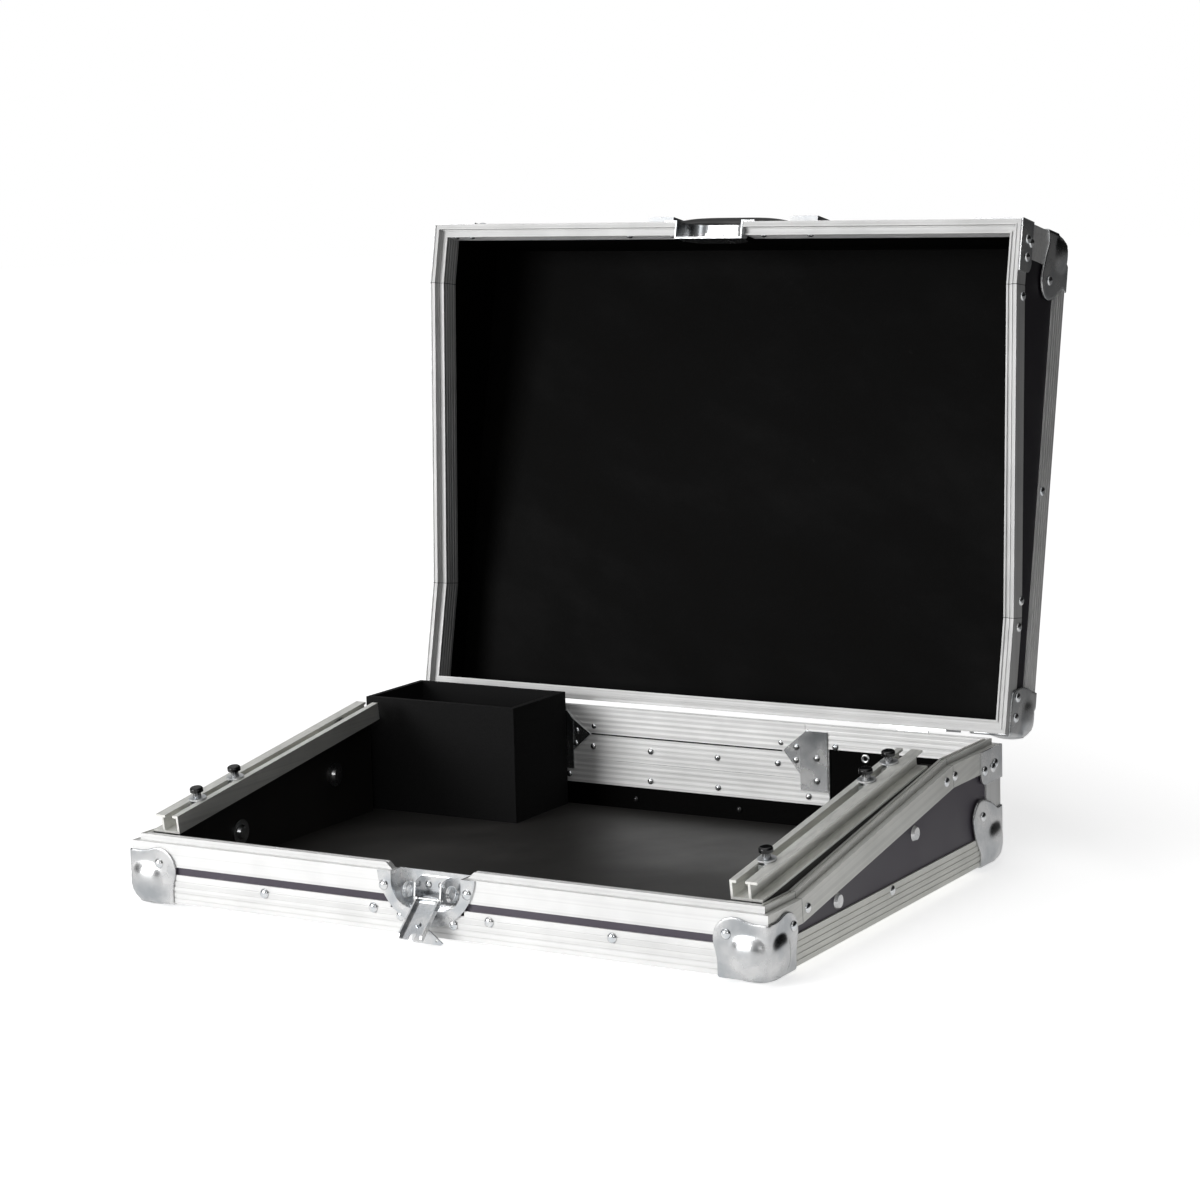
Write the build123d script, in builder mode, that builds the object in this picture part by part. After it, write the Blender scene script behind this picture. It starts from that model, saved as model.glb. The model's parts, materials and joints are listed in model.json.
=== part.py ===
# Lighting controller case with a sloped closing line, an open hinged lid, rack rails,
# a rear cable flap and a cable compartment. Lengths in mm, +Z up, the front faces -Y.
# The origin lies on the resting plane under the middle of the base.
import os
from math import atan2, cos, hypot, radians, sin

from build123d import *

os.makedirs("parts", exist_ok=True)

# driving sizes
WIDTH = 516.0            # over the aluminium
DEPTH = 380.0
UNDER = 5.0              # underside above the floor, the ball corners reach down to 0
FRONT_LEDGE = UNDER + 43.0
REAR_LEDGE = UNDER + 84.5
TOP = UNDER + 138.0      # closed lid, over the aluminium
KINK_FRONT = 48.5        # distance of the two kinks of the closing line from the front
KINK_REAR = 293.5
OPEN_ANGLE = 102.0       # the lid stands open by this much
MIDDLE = -3.0            # latch, handle and cable flap share this x

PLY = 7.0                # plywood of the walls, the floor and the lid
SKIN = 1.5               # aluminium wall
RIM = PLY + 2 * SKIN     # thickness of the closing profiles
TONGUE_HIGH = 4.5
TONGUE_FROM = 4.6        # outer face of the tongue behind the outer face of the case
OUTER_FLANGE = 16.5      # flanges of the closing profiles, below and above the closing line
INNER_FLANGE = 18.0
WEB = 2.0
CLOSING_GAP = 0.3        # between lid and base profiles
TONGUE_PLAY = 0.4
EDGE_LEG = 21.0          # angle extrusions along floor and lid edges
CORNER_LEG = 26.0        # angle extrusions along the upright corners
RIB = 0.4                # depth of the grooves along the extrusions
RIB_WIDE = 1.3

BALL_IN = 18.0           # centre of the ball behind each of the three faces
BALL_OUT = UNDER         # how far the ball stands proud of them, down to the floor
SHEET = 1.5              # steel sheet of the ball corners
BALL_WALL = 9.0          # walls that close the bent edges against the ball
LOBE = 13.0              # rounding of the plates of most ball corners
THIN_SHEET = 1.2         # steel sheet of braces, dishes and guard plates
FIT = 0.3                # play between pieces that move past each other

x_side = WIDTH / 2
y_front = -DEPTH / 2
y_rear = DEPTH / 2
floor_top = UNDER + SKIN + PLY
roof_under = TOP - SKIN - PLY
tongue_rear = REAR_LEDGE + TONGUE_HIGH
slope = atan2(REAR_LEDGE - FRONT_LEDGE, KINK_REAR - KINK_FRONT)

HINGE_Y = y_rear + 6.8
HINGE_Z = REAR_LEDGE - 1.2


def back(distance):
    """Y of a point this far behind the front face."""
    return y_front + distance


closing_line = [
    (y_front, FRONT_LEDGE),
    (back(KINK_FRONT), FRONT_LEDGE),
    (back(KINK_REAR), REAR_LEDGE),
    (y_rear, REAR_LEDGE),
]


def shifted(path, lift):
    """The (y, z) path moved sideways by lift, with mitred kinks."""
    moved = []
    for i, (y, z) in enumerate(path):
        turns = []
        for (ya, za), (yb, zb) in zip(path[max(i - 1, 0):], path[max(i, 1):i + 2]):
            long = hypot(yb - ya, zb - za)
            turns.append((-(zb - za) / long, (yb - ya) / long))
        ny = sum(turn[0] for turn in turns) / len(turns)
        nz = sum(turn[1] for turn in turns) / len(turns)
        grow = lift / (ny * ny + nz * nz)
        moved.append((y + ny * grow, z + nz * grow))
    return moved


def clipped(path, y_from, y_to):
    """The part of a (y, z) path between two depths."""
    inside = [point for point in path if y_from < point[0] < y_to]
    ends = []
    for y in (y_from, y_to):
        for (ya, za), (yb, zb) in zip(path, path[1:]):
            if ya <= y <= yb or (y < path[0][0] and ya == path[0][0]) or (
                    y > path[-1][0] and yb == path[-1][0]):
                ends.append((y, za + (zb - za) * (y - ya) / (yb - ya)))
                break
    return [ends[0]] + inside + [ends[1]]


def prism(points, plane, amount, mode=Mode.ADD):
    """Extrude a closed outline inside the running BuildPart."""
    with BuildSketch(plane) as outline:
        with BuildLine():
            Polyline(*points, close=True)
        make_face()
    extrude(outline.sketch, amount=amount, mode=mode)


def block(x0, x1, y0, y1, z0, z1, mode=Mode.ADD):
    """Straight block between two corners."""
    outline = [(x0, y0), (x1, y0), (x1, y1), (x0, y1)]
    prism(outline, Plane.XY.offset(z0), z1 - z0, mode)


def side_wall(points, x0, x1, mode=Mode.ADD):
    """Block with a (y, z) outline between two x."""
    prism(points, Plane.YZ.offset(x0), x1 - x0, mode)


def front_wall(points, y0, y1, mode=Mode.ADD):
    """Block with an (x, z) outline between two y."""
    plane = Plane(origin=(0, y0, 0), x_dir=(1, 0, 0), z_dir=(0, -1, 0))
    prism(points, plane, y0 - y1, mode)


def section(origin, inward, along):
    """Plane for a cross-section: x runs into the case, y runs up, z along the piece."""
    return Plane(origin=origin, x_dir=inward, z_dir=along)


def disc(plane, radius, amount, hole=0.0):
    """Round slab inside the running BuildPart."""
    with BuildSketch(plane) as ring:
        Circle(radius)
        if hole:
            Circle(hole, mode=Mode.SUBTRACT)
    extrude(ring.sketch, amount=amount)


def save(piece, label, in_lid=False):
    """Name a finished piece, turn lid pieces open and write the STEP file."""
    if in_lid:
        piece.part.move(lid_open)
    piece.part.label = label
    export_step(piece.part, f"parts/{label}.step")


lid_open = (
    Location((0, HINGE_Y, HINGE_Z))
    * Location((0, 0, 0), (-OPEN_ANGLE, 0, 0))
    * Location((0, -HINGE_Y, -HINGE_Z))
)

# cross-sections
groove = [(TONGUE_FROM + 1.6, TONGUE_HIGH), (TONGUE_FROM + 1.6, TONGUE_HIGH - 0.7),
          (RIM - 1.8, TONGUE_HIGH - 0.7), (RIM - 1.8, TONGUE_HIGH)]


def ribbed(x, low, high, outward, rows):
    """Points down a flat face from high to low with sunk ribs, on the side given."""
    pitch = (high - low) / (rows + 1)
    points = []
    for row in range(rows, 0, -1):
        middle = low + pitch * row
        points += [(x, middle + RIB_WIDE / 2), (x - outward * RIB, middle + RIB_WIDE / 2),
                   (x - outward * RIB, middle - RIB_WIDE / 2), (x, middle - RIB_WIDE / 2)]
    return points


def base_rim(inner=INNER_FLANGE):
    """Closing profile of the base, measured from the outer edge of its ledge."""
    foot = TONGUE_HIGH - inner
    return (
        [(0, -OUTER_FLANGE), (0, 0), (TONGUE_FROM, 0), (TONGUE_FROM, TONGUE_HIGH)]
        + groove + [(RIM, TONGUE_HIGH)]
        + ribbed(RIM, foot, TONGUE_HIGH, 1, 4)
        + [(RIM, foot), (RIM - SKIN, foot), (RIM - SKIN, -WEB), (SKIN, -WEB),
           (SKIN, -OUTER_FLANGE)]
    )


lid_step = TONGUE_FROM - TONGUE_PLAY
lid_in = TONGUE_HIGH + CLOSING_GAP
lid_rim = (
    [(0, CLOSING_GAP), (0.9, CLOSING_GAP), (0.9, CLOSING_GAP + 0.6),
     (lid_step - 0.9, CLOSING_GAP + 0.6), (lid_step - 0.9, CLOSING_GAP),
     (lid_step, CLOSING_GAP), (lid_step, lid_in), (lid_step + 1.0, lid_in),
     (lid_step + 1.0, lid_in + 1.0), (RIM - 1.4, lid_in + 1.0), (RIM - 1.4, lid_in),
     (RIM, lid_in)]
    + list(reversed(ribbed(RIM, lid_in, lid_in + INNER_FLANGE, 1, 4)))
    + [(RIM, lid_in + INNER_FLANGE), (RIM - SKIN, lid_in + INNER_FLANGE),
       (RIM - SKIN, lid_in + WEB), (SKIN, lid_in + WEB), (SKIN, OUTER_FLANGE),
       (0, OUTER_FLANGE)]
)
lid_edge_low = lid_in + WEB      # lower edge of the lid panels over the closing line


def angle(leg):
    """Angle extrusion: outer corner at (0, 0), legs along x and y, ribbed outside."""
    return (
        [(0, 0)] + list(reversed(ribbed(0, 0, leg, -1, 4)))
        + [(0, leg), (SKIN, leg), (SKIN, SKIN), (leg, SKIN), (leg, 0)]
    )


def upright(x_sign, y_sign, z0, z1):
    """Angle extrusion standing in an upright corner of the case."""
    x, y = x_sign * x_side, y_sign * DEPTH / 2
    leg = CORNER_LEG
    outline = [(x, y), (x - x_sign * leg, y), (x - x_sign * leg, y - y_sign * SKIN),
               (x - x_sign * SKIN, y - y_sign * SKIN), (x - x_sign * SKIN, y - y_sign * leg),
               (x, y - y_sign * leg)]
    prism(outline, Plane.XY.offset(z0), z1 - z0)


# ball corners
ball_r = BALL_IN + BALL_OUT
ball_hollow = ball_r - SHEET


def corner_relief(z_corner, up):
    """Cut the four corners of a panel back to the inside of the ball corners."""
    for sx in (-1, 1):
        for sy in (-1, 1):
            with BuildPart(mode=Mode.PRIVATE) as relief:
                x, y = sx * x_side, sy * DEPTH / 2
                with Locations((x - sx * BALL_IN / 2, y - sy * BALL_IN / 2,
                                z_corner + up * BALL_IN / 2)):
                    Box(BALL_IN, BALL_IN, BALL_IN)
                with Locations((x - sx * BALL_IN, y - sy * BALL_IN, z_corner + up * BALL_IN)):
                    Sphere(ball_hollow - FIT, mode=Mode.SUBTRACT)
            add(relief.part, mode=Mode.SUBTRACT)


def lobed(across, high, reach, rounding):
    """Face of a ball corner from its corner: a rounded lobe beyond two straight legs."""
    Rectangle(across, reach - rounding, align=Align.MIN)
    Rectangle(across - rounding, high, align=Align.MIN)
    with Locations((across - rounding, reach - rounding)):
        Circle(rounding)


def span(corner, sign, near, far):
    """Low and high end of a stretch measured inwards from a corner of the case."""
    return sorted((corner - sign * near, corner - sign * far))


def ball_corner(sx, sy, z_corner, up, long_x, long_y, high, reach, rounding):
    """Pressed steel corner: three sheet faces, bent edges and a hollow ball over the corner."""
    x, y = sx * x_side, sy * DEPTH / 2
    faces = [
        (Plane(origin=(x, y, z_corner), x_dir=(-sx, 0, 0), z_dir=(0, sx * up, 0)),
         sx * sy * up, (long_x, high, reach, rounding)),
        (Plane(origin=(x, y, z_corner), x_dir=(0, -sy, 0), z_dir=(-sy * up, 0, 0)),
         -sx * sy * up, (long_y, high, reach, rounding)),
        (Plane(origin=(x, y, z_corner), x_dir=(-sx, 0, 0), z_dir=(0, 0, sx * sy)),
         -up * sx * sy, (long_x, long_y, long_y, rounding)),
    ]
    for plane, sign, sizes in faces:
        with BuildSketch(plane) as face:
            lobed(*sizes)
        extrude(face.sketch, amount=sign * SHEET)
    for reach_x, reach_y, reach_z in ((long_x, 0, 0), (0, long_y, 0), (0, 0, high)):
        block(*span(x, sx, -SHEET, reach_x), *span(y, sy, -SHEET, reach_y),
              *span(z_corner, -up, -SHEET, reach_z))
    block(*span(x, sx, -2 * SHEET, BALL_IN), *span(y, sy, -2 * SHEET, BALL_IN),
          *span(z_corner, -up, -2 * SHEET, BALL_IN), Mode.SUBTRACT)
    with Locations((x - sx * BALL_IN, y - sy * BALL_IN, z_corner + up * BALL_IN)):
        Sphere(ball_r)
    for wall in range(3):
        near = [-SHEET] * 3
        far = [BALL_WALL] * 3
        near[wall], far[wall] = BALL_IN - SHEET, BALL_IN
        block(*span(x, sx, near[0], far[0]), *span(y, sy, near[1], far[1]),
              *span(z_corner, -up, near[2], far[2]))
    with Locations((x - sx * BALL_IN, y - sy * BALL_IN, z_corner + up * BALL_IN)):
        Sphere(ball_hollow, mode=Mode.SUBTRACT)
    with BuildPart(mode=Mode.PRIVATE) as inside:
        block(*span(x, sx, 0, 3 * BALL_IN), *span(y, sy, 0, 3 * BALL_IN),
              *span(z_corner, -up, 0, 3 * BALL_IN))
        block(*span(x, sx, 0, BALL_IN), *span(y, sy, 0, BALL_IN),
              *span(z_corner, -up, 0, BALL_IN), Mode.SUBTRACT)
    add(inside.part, mode=Mode.SUBTRACT)


# base: panels
x_ply = x_side - SKIN            # outer and inner faces of the side panels
x_in = x_ply - PLY
x_clear = x_side - RIM           # inner faces of the closing profiles
y_ply = y_rear - SKIN            # the same for front and rear panels
y_in = y_ply - PLY
y_clear = y_rear - RIM

# rear cable flap and the opening it fills
FLAP_LEFT = MIDDLE - 104.4
FLAP_RIGHT = MIDDLE + 105.3
FLAP_LOW = UNDER + 46.6
FLAP_SLIT = UNDER + 66.8         # slit between the inner flanges of its frame
SLIT_WIDE = 1.2
FRAME_IN = 19.6                  # flanges of the frames, inside and outside
FRAME_OUT = 16.5
GUARD_LAP = 4.0                  # guard plates reach over the flap
GUARD_WIDE = 23.0
GUARD_LOW = UNDER + 37.5
GUARD_HIGH = UNDER + 84.0

# latch: recess in front walls, measured from the middle of the latch
DISH_R = 40.0
DISH_MIDDLE = 4.0                # centre of the round outline beyond the closing line
POCKET = 28.5                    # half width
POCKET_DEEP = 12.0
POCKET_ROUND = 17.0
POCKET_LOW = UNDER + 18.8
POCKET_HIGH = FRONT_LEDGE + 24.0

# rack rails and the boards that carry them
RAIL_X = 465.1 / 2               # rack hole pitch
RAIL_NEAR = (back(11.6), UNDER + 60.8)
RAIL_TILT = radians(8.4)
RAIL_LONG = 262.0
RAIL_HIGH = 13.5
SLOT_HALF = 3.3
RAIL_WALL = 1.8
RAIL_INNER = 8.2                 # web towards the middle of the case
RAIL_OUTER = 5.0                 # web towards the side wall
RAIL_FLANGE = 12.0
RAIL_FOOT = 15.0
BOARD = 9.0
WALL_BOLTS = [(104.5, UNDER + 28.6), (229.0, UNDER + 48.3)]
BOLT_R = 3.0
HOLE_R = BOLT_R + FIT

with BuildPart() as base_floor:
    block(-x_ply, x_ply, -y_ply, y_ply, UNDER + SKIN, floor_top)
    corner_relief(UNDER, 1)
save(base_floor, "base_floor")

pocket_cut = (MIDDLE - POCKET - THIN_SHEET - FIT, MIDDLE + POCKET + THIN_SHEET + FIT)
with BuildPart() as base_front_panel:
    block(-x_in, x_in, -y_ply, -y_in, floor_top, FRONT_LEDGE - WEB)
    block(*pocket_cut, -y_ply, -y_in, POCKET_LOW - THIN_SHEET - FIT, FRONT_LEDGE, Mode.SUBTRACT)
    corner_relief(UNDER, 1)
save(base_front_panel, "base_front_panel")

with BuildPart() as base_rear_panel:
    block(-x_in, x_in, y_in, y_ply, floor_top, REAR_LEDGE - WEB)
    block(FLAP_LEFT - FIT - WEB, FLAP_RIGHT + FIT + WEB, y_in, y_ply,
          FLAP_LOW - FIT - WEB, REAR_LEDGE, Mode.SUBTRACT)
    corner_relief(UNDER, 1)
save(base_rear_panel, "base_rear_panel")

base_wall = clipped(shifted(closing_line, -WEB), -y_ply, y_ply)
for side, name in ((-1, "left"), (1, "right")):
    with BuildPart() as base_side_panel:
        outline = [(-y_ply, floor_top)] + base_wall + [(y_ply, floor_top)]
        side_wall(outline, min(side * x_in, side * x_ply), max(side * x_in, side * x_ply))
        corner_relief(UNDER, 1)
        for distance, z in WALL_BOLTS:
            with Locations(Location((side * (x_in + PLY / 2), back(distance), z), (0, 90, 0))):
                Cylinder(HOLE_R, PLY + 2, mode=Mode.SUBTRACT)
    save(base_side_panel, f"base_{name}_panel")

# base: angle extrusions
edge_end = EDGE_LEG + FIT        # the extrusions keep clear of each other at the corners
edge_x = x_side - edge_end
edge_y = y_rear - edge_end
with BuildPart() as base_edge_front:
    prism(angle(EDGE_LEG), section((-edge_x, y_front, UNDER), (0, 1, 0), (1, 0, 0)), 2 * edge_x)
    block(*pocket_cut, y_front - 1, -y_in, POCKET_LOW - THIN_SHEET - FIT, TOP, Mode.SUBTRACT)
save(base_edge_front, "base_edge_front")

with BuildPart() as base_edge_rear:
    prism(angle(EDGE_LEG), section((edge_x, y_rear, UNDER), (0, -1, 0), (-1, 0, 0)), 2 * edge_x)
save(base_edge_rear, "base_edge_rear")

with BuildPart() as base_edge_sides:
    for side in (-1, 1):
        start = (side * x_side, -side * edge_y, UNDER)
        prism(angle(EDGE_LEG), section(start, (-side, 0, 0), (0, side, 0)), 2 * edge_y)
save(base_edge_sides, "base_edge_sides")

with BuildPart() as base_corner_edges:
    for side in (-1, 1):
        upright(side, 1, UNDER + edge_end, REAR_LEDGE - OUTER_FLANGE)
save(base_corner_edges, "base_corner_edges")

# closing profiles


def rim_length(outline, side, start, end, from_cut, to_cut):
    """One length of a side closing profile between two (y, z) points, cut at both ends."""
    (ya, za), (yb, zb) = start, end
    long = hypot(yb - ya, zb - za)
    step = ((yb - ya) / long, (zb - za) / long)
    extra = 30.0
    if side > 0:
        origin = (x_side, ya - step[0] * extra, za - step[1] * extra)
        plane = section(origin, (-1, 0, 0), (0, step[0], step[1]))
    else:
        origin = (-x_side, yb + step[0] * extra, zb + step[1] * extra)
        plane = section(origin, (1, 0, 0), (0, -step[0], -step[1]))
    with BuildPart(mode=Mode.PRIVATE) as piece:
        prism(outline, plane, long + 2 * extra)
        split(bisect_by=from_cut, keep=Keep.TOP)
        split(bisect_by=to_cut, keep=Keep.BOTTOM)
    add(piece.part)


def kink_cut(at, before, after):
    """Plane halving the bend between two directions in the side view."""
    y, z = (before[0] + after[0]) / 2, (before[1] + after[1]) / 2
    return Plane(origin=(0, at[0], at[1]), z_dir=(0, y, z))


level = (1.0, 0.0)
rising = (cos(slope), sin(slope))


def side_rim(outline, side):
    """The three lengths of a side closing profile, mitred at corners and kinks."""
    front = Plane(origin=(side * x_side, y_front, 0), z_dir=(side, 1, 0))
    rear = Plane(origin=(side * x_side, y_rear, 0), z_dir=(-side, 1, 0))
    first = kink_cut(closing_line[1], level, rising)
    second = kink_cut(closing_line[2], rising, level)
    rim_length(outline, side, closing_line[0], closing_line[1], front, first)
    rim_length(outline, side, closing_line[1], closing_line[2], first, second)
    rim_length(outline, side, closing_line[2], closing_line[3], second, rear)


def cross_rim(outline, y_sign, z):
    """Closing profile across the front or rear, mitred at both ends."""
    start = (y_sign * x_side, y_sign * DEPTH / 2, z)
    prism(outline, section(start, (0, -y_sign, 0), (-y_sign, 0, 0)), WIDTH)
    for side in (-1, 1):
        corner = (side * x_side, y_sign * DEPTH / 2, 0)
        split(bisect_by=Plane(origin=corner, z_dir=(side, y_sign * -1, 0)), keep=Keep.BOTTOM)


with BuildPart() as base_rim_front:
    cross_rim(base_rim(), -1, FRONT_LEDGE)
    block(*pocket_cut, y_front - 1, -y_clear + 1, FRONT_LEDGE - 21.0, FRONT_LEDGE + 10, Mode.SUBTRACT)
    bevel = [(MIDDLE - 36, FRONT_LEDGE + 10), (MIDDLE - 36, FRONT_LEDGE + TONGUE_HIGH),
             (MIDDLE - 31, FRONT_LEDGE), (MIDDLE + 31, FRONT_LEDGE),
             (MIDDLE + 36, FRONT_LEDGE + TONGUE_HIGH), (MIDDLE + 36, FRONT_LEDGE + 10)]
    front_wall(bevel, y_front - 1, -y_clear + 1, Mode.SUBTRACT)
save(base_rim_front, "base_rim_front")

strip_left = FLAP_LEFT - FIT - FRAME_IN
strip_right = FLAP_RIGHT + FIT + FRAME_IN
with BuildPart() as base_rim_rear:
    cross_rim(base_rim(), 1, REAR_LEDGE)
    block(FLAP_LEFT - FIT, FLAP_RIGHT + FIT, y_clear - 1, y_rear + 1,
          UNDER, TOP, Mode.SUBTRACT)
    block(strip_left, strip_right, y_clear - 1, y_in, UNDER, REAR_LEDGE - WEB, Mode.SUBTRACT)
    block(FLAP_LEFT - FIT - FRAME_OUT, FLAP_RIGHT + FIT + FRAME_OUT, y_in, y_rear + 1,
          UNDER, REAR_LEDGE - WEB, Mode.SUBTRACT)
save(base_rim_rear, "base_rim_rear")

for side, name in ((-1, "left"), (1, "right")):
    with BuildPart() as base_rim_side:
        side_rim(base_rim(), side)
    save(base_rim_side, f"base_rim_{name}")

# base: steel corners and braces
with BuildPart() as base_corners:
    for front, sizes in ((-1, (46.0, 40.0, 36.5, 40.0, LOBE)),
                         (1, (51.0, 51.0, 40.0, 49.0, LOBE))):
        with BuildPart(mode=Mode.PRIVATE) as corner:
            ball_corner(-1, front, UNDER, 1, *sizes)
        add(corner.part)
        mirror(corner.part, about=Plane.YZ)
save(base_corners, "base_corners")

BRACE_LONG = 38.0
BRACE_ROUND = 8.0


def brace(sx, sy, z_rim, z_far):
    """Bent sheet around an upright corner, from the closing line to z_far."""
    x, y = sx * x_side, sy * DEPTH / 2
    low, high = min(z_rim, z_far), max(z_rim, z_far)
    for across, out in (((-sx, 0, 0), Vector(0, sy, 0)), ((0, -sy, 0), Vector(sx, 0, 0))):
        normal = Vector(*across).cross(Vector(0, 0, 1))
        with BuildSketch(Plane(origin=(x, y, 0), x_dir=across, z_dir=normal)) as face:
            with Locations(((BRACE_LONG - THIN_SHEET) / 2, (low + high) / 2)):
                Rectangle(BRACE_LONG + THIN_SHEET, high - low)
            far_end = [corner for corner in face.vertices()
                       if corner.X > 0 and abs(corner.Y - z_far) < FIT]
            fillet(far_end, BRACE_ROUND)
        extrude(face.sketch, amount=THIN_SHEET * out.dot(normal))


with BuildPart() as base_braces:
    for side in (-1, 1):
        with BuildPart(mode=Mode.PRIVATE) as corner:
            brace(side, 1, REAR_LEDGE, UNDER + 59.5)
        add(corner.part)
save(base_braces, "base_braces")

# rear opening frame, cable flap and guard plates
FLAP_PIN = (y_rear + 1.0, FLAP_LOW - FIT / 2)
FLAP_BARREL = 2.0
FLAP_HINGE_X = 66.0
FLAP_HINGE_HALF = 20.0
flap_middle = (FLAP_LEFT + FLAP_RIGHT) / 2


def flap_seam():
    """Hollow the frames out around the two knuckle rows of the flap hinge."""
    for sign in (-1, 1):
        start = flap_middle + sign * FLAP_HINGE_X - FLAP_HINGE_HALF - 1
        plane = Plane(origin=(start, *FLAP_PIN), x_dir=(0, 1, 0), z_dir=(1, 0, 0))
        with BuildSketch(plane) as groove_round:
            Circle(FLAP_BARREL + FIT)
        extrude(groove_round.sketch, amount=2 * FLAP_HINGE_HALF + 2, mode=Mode.SUBTRACT)


open_left, open_right = FLAP_LEFT - FIT, FLAP_RIGHT + FIT
open_low = FLAP_LOW - FIT
frame_top = REAR_LEDGE - WEB
with BuildPart() as opening_frame:
    for wide, y0, y1 in ((FRAME_IN, y_clear, y_in), (FRAME_OUT, y_ply, y_rear)):
        front_wall([(open_left, open_low), (open_right, open_low),
                    (open_right + wide, open_low - wide), (open_left - wide, open_low - wide)],
                   y0, y1)
        for edge, sign in ((open_left, -1), (open_right, 1)):
            front_wall([(edge, open_low), (edge, frame_top), (edge + sign * wide, frame_top),
                        (edge + sign * wide, open_low - wide)], y0, y1)
    block(open_left - WEB, open_right + WEB, y_in, y_ply, open_low - WEB, open_low)
    block(open_left - WEB, open_left, y_in, y_ply, open_low - WEB, frame_top)
    block(open_right, open_right + WEB, y_in, y_ply, open_low - WEB, frame_top)
    flap_seam()
save(opening_frame, "opening_frame")

with BuildPart() as flap_panel:
    block(FLAP_LEFT + WEB, FLAP_RIGHT - WEB, y_in, y_ply, FLAP_LOW + WEB, frame_top)
save(flap_panel, "flap_panel")

inner_long = tongue_rear - FLAP_SLIT - SLIT_WIDE / 2
with BuildPart() as flap_rim:
    start = (FLAP_RIGHT, y_rear, REAR_LEDGE)
    prism(base_rim(inner_long), section(start, (0, -1, 0), (-1, 0, 0)), FLAP_RIGHT - FLAP_LEFT)
    for edge, sign in ((FLAP_LEFT, 1), (FLAP_RIGHT, -1)):
        for wide, y0, y1 in ((FRAME_IN, y_clear - 1, y_in), (FRAME_OUT, y_ply, y_rear + 1)):
            low = FLAP_SLIT + SLIT_WIDE / 2 if y0 < y_in else REAR_LEDGE - OUTER_FLANGE
            reach = frame_top - low
            front_wall([(edge, frame_top), (edge + sign * (wide - reach), frame_top),
                        (edge + sign * wide, low), (edge + sign * wide, low - 20),
                        (edge, low - 20)], y0, y1, Mode.SUBTRACT)
save(flap_rim, "flap_rim")

with BuildPart() as flap_frame:
    for wide, y0, y1 in ((FRAME_IN, y_clear, y_in), (FRAME_OUT, y_ply, y_rear)):
        front_wall([(FLAP_LEFT, FLAP_LOW), (FLAP_RIGHT, FLAP_LOW),
                    (FLAP_RIGHT - wide, FLAP_LOW + wide), (FLAP_LEFT + wide, FLAP_LOW + wide)],
                   y0, y1)
        low = FLAP_SLIT + SLIT_WIDE / 2 if y0 < y_in else REAR_LEDGE - OUTER_FLANGE
        reach = frame_top - low
        for edge, sign in ((FLAP_LEFT, 1), (FLAP_RIGHT, -1)):
            front_wall([(edge, FLAP_LOW), (edge, frame_top),
                        (edge + sign * (wide - reach), frame_top),
                        (edge + sign * wide, low), (edge + sign * wide, FLAP_LOW + wide)],
                       y0, y1)
    block(FLAP_LEFT, FLAP_RIGHT, y_in, y_ply, FLAP_LOW, FLAP_LOW + WEB)
    block(FLAP_LEFT, FLAP_LEFT + WEB, y_in, y_ply, FLAP_LOW, frame_top)
    block(FLAP_RIGHT - WEB, FLAP_RIGHT, y_in, y_ply, FLAP_LOW, frame_top)
    flap_seam()
save(flap_frame, "flap_frame")

with BuildPart() as flap_guards:
    for edge, sign in ((FLAP_LEFT, -1), (FLAP_RIGHT, 1)):
        near = edge - sign * GUARD_LAP
        far = near + sign * GUARD_WIDE
        front_wall([(near, GUARD_LOW), (near, GUARD_HIGH - 6), (near + sign * 5, GUARD_HIGH),
                    (far, GUARD_HIGH), (far, GUARD_LOW)], y_clear - THIN_SHEET, y_clear)
save(flap_guards, "flap_guards")

# rail boards, rails, wall bolts
tilt = (cos(RAIL_TILT), sin(RAIL_TILT))


def on_rail(distance, lift):
    """(y, z) of a point along a rail, lift above its top face."""
    return (RAIL_NEAR[0] + tilt[0] * distance - tilt[1] * lift,
            RAIL_NEAR[1] + tilt[1] * distance + tilt[0] * lift)


x_board = x_clear - BOARD
board_near = on_rail(0, -RAIL_HIGH)
board_far = on_rail(RAIL_LONG + 8, -RAIL_HIGH)
rail_outline = [
    (-RAIL_INNER, 0), (RAIL_FOOT, 0), (RAIL_FOOT, RAIL_WALL),
    (RAIL_OUTER + RAIL_WALL, RAIL_WALL), (RAIL_OUTER + RAIL_WALL, RAIL_HIGH - RAIL_WALL),
    (RAIL_FLANGE, RAIL_HIGH - RAIL_WALL), (RAIL_FLANGE, RAIL_HIGH), (SLOT_HALF, RAIL_HIGH),
    (SLOT_HALF, RAIL_HIGH - RAIL_WALL), (RAIL_OUTER, RAIL_HIGH - RAIL_WALL),
    (RAIL_OUTER, RAIL_WALL), (RAIL_WALL - RAIL_INNER, RAIL_WALL),
    (RAIL_WALL - RAIL_INNER, RAIL_HIGH - RAIL_WALL), (-SLOT_HALF, RAIL_HIGH - RAIL_WALL),
    (-SLOT_HALF, RAIL_HIGH), (-RAIL_INNER, RAIL_HIGH),
]
for side, name in ((-1, "left"), (1, "right")):
    with BuildPart() as rail_board:
        side_wall([(board_near[0], floor_top), board_near, board_far,
                   (board_far[0], floor_top)],
                  min(side * x_board, side * x_clear), max(side * x_board, side * x_clear))
        for distance, z in WALL_BOLTS:
            with Locations(Location((side * (x_board + BOARD / 2), back(distance), z), (0, 90, 0))):
                Cylinder(HOLE_R, BOARD + 2, mode=Mode.SUBTRACT)
    save(rail_board, f"rail_board_{name}")

    with BuildPart() as rack_rail:
        start = on_rail(0, -RAIL_HIGH) if side < 0 else on_rail(RAIL_LONG, -RAIL_HIGH)
        run = (0, -side * tilt[0], -side * tilt[1])
        prism(rail_outline, section((side * RAIL_X, *start), (side, 0, 0), run), RAIL_LONG)
    save(rack_rail, f"rack_rail_{name}")

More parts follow.
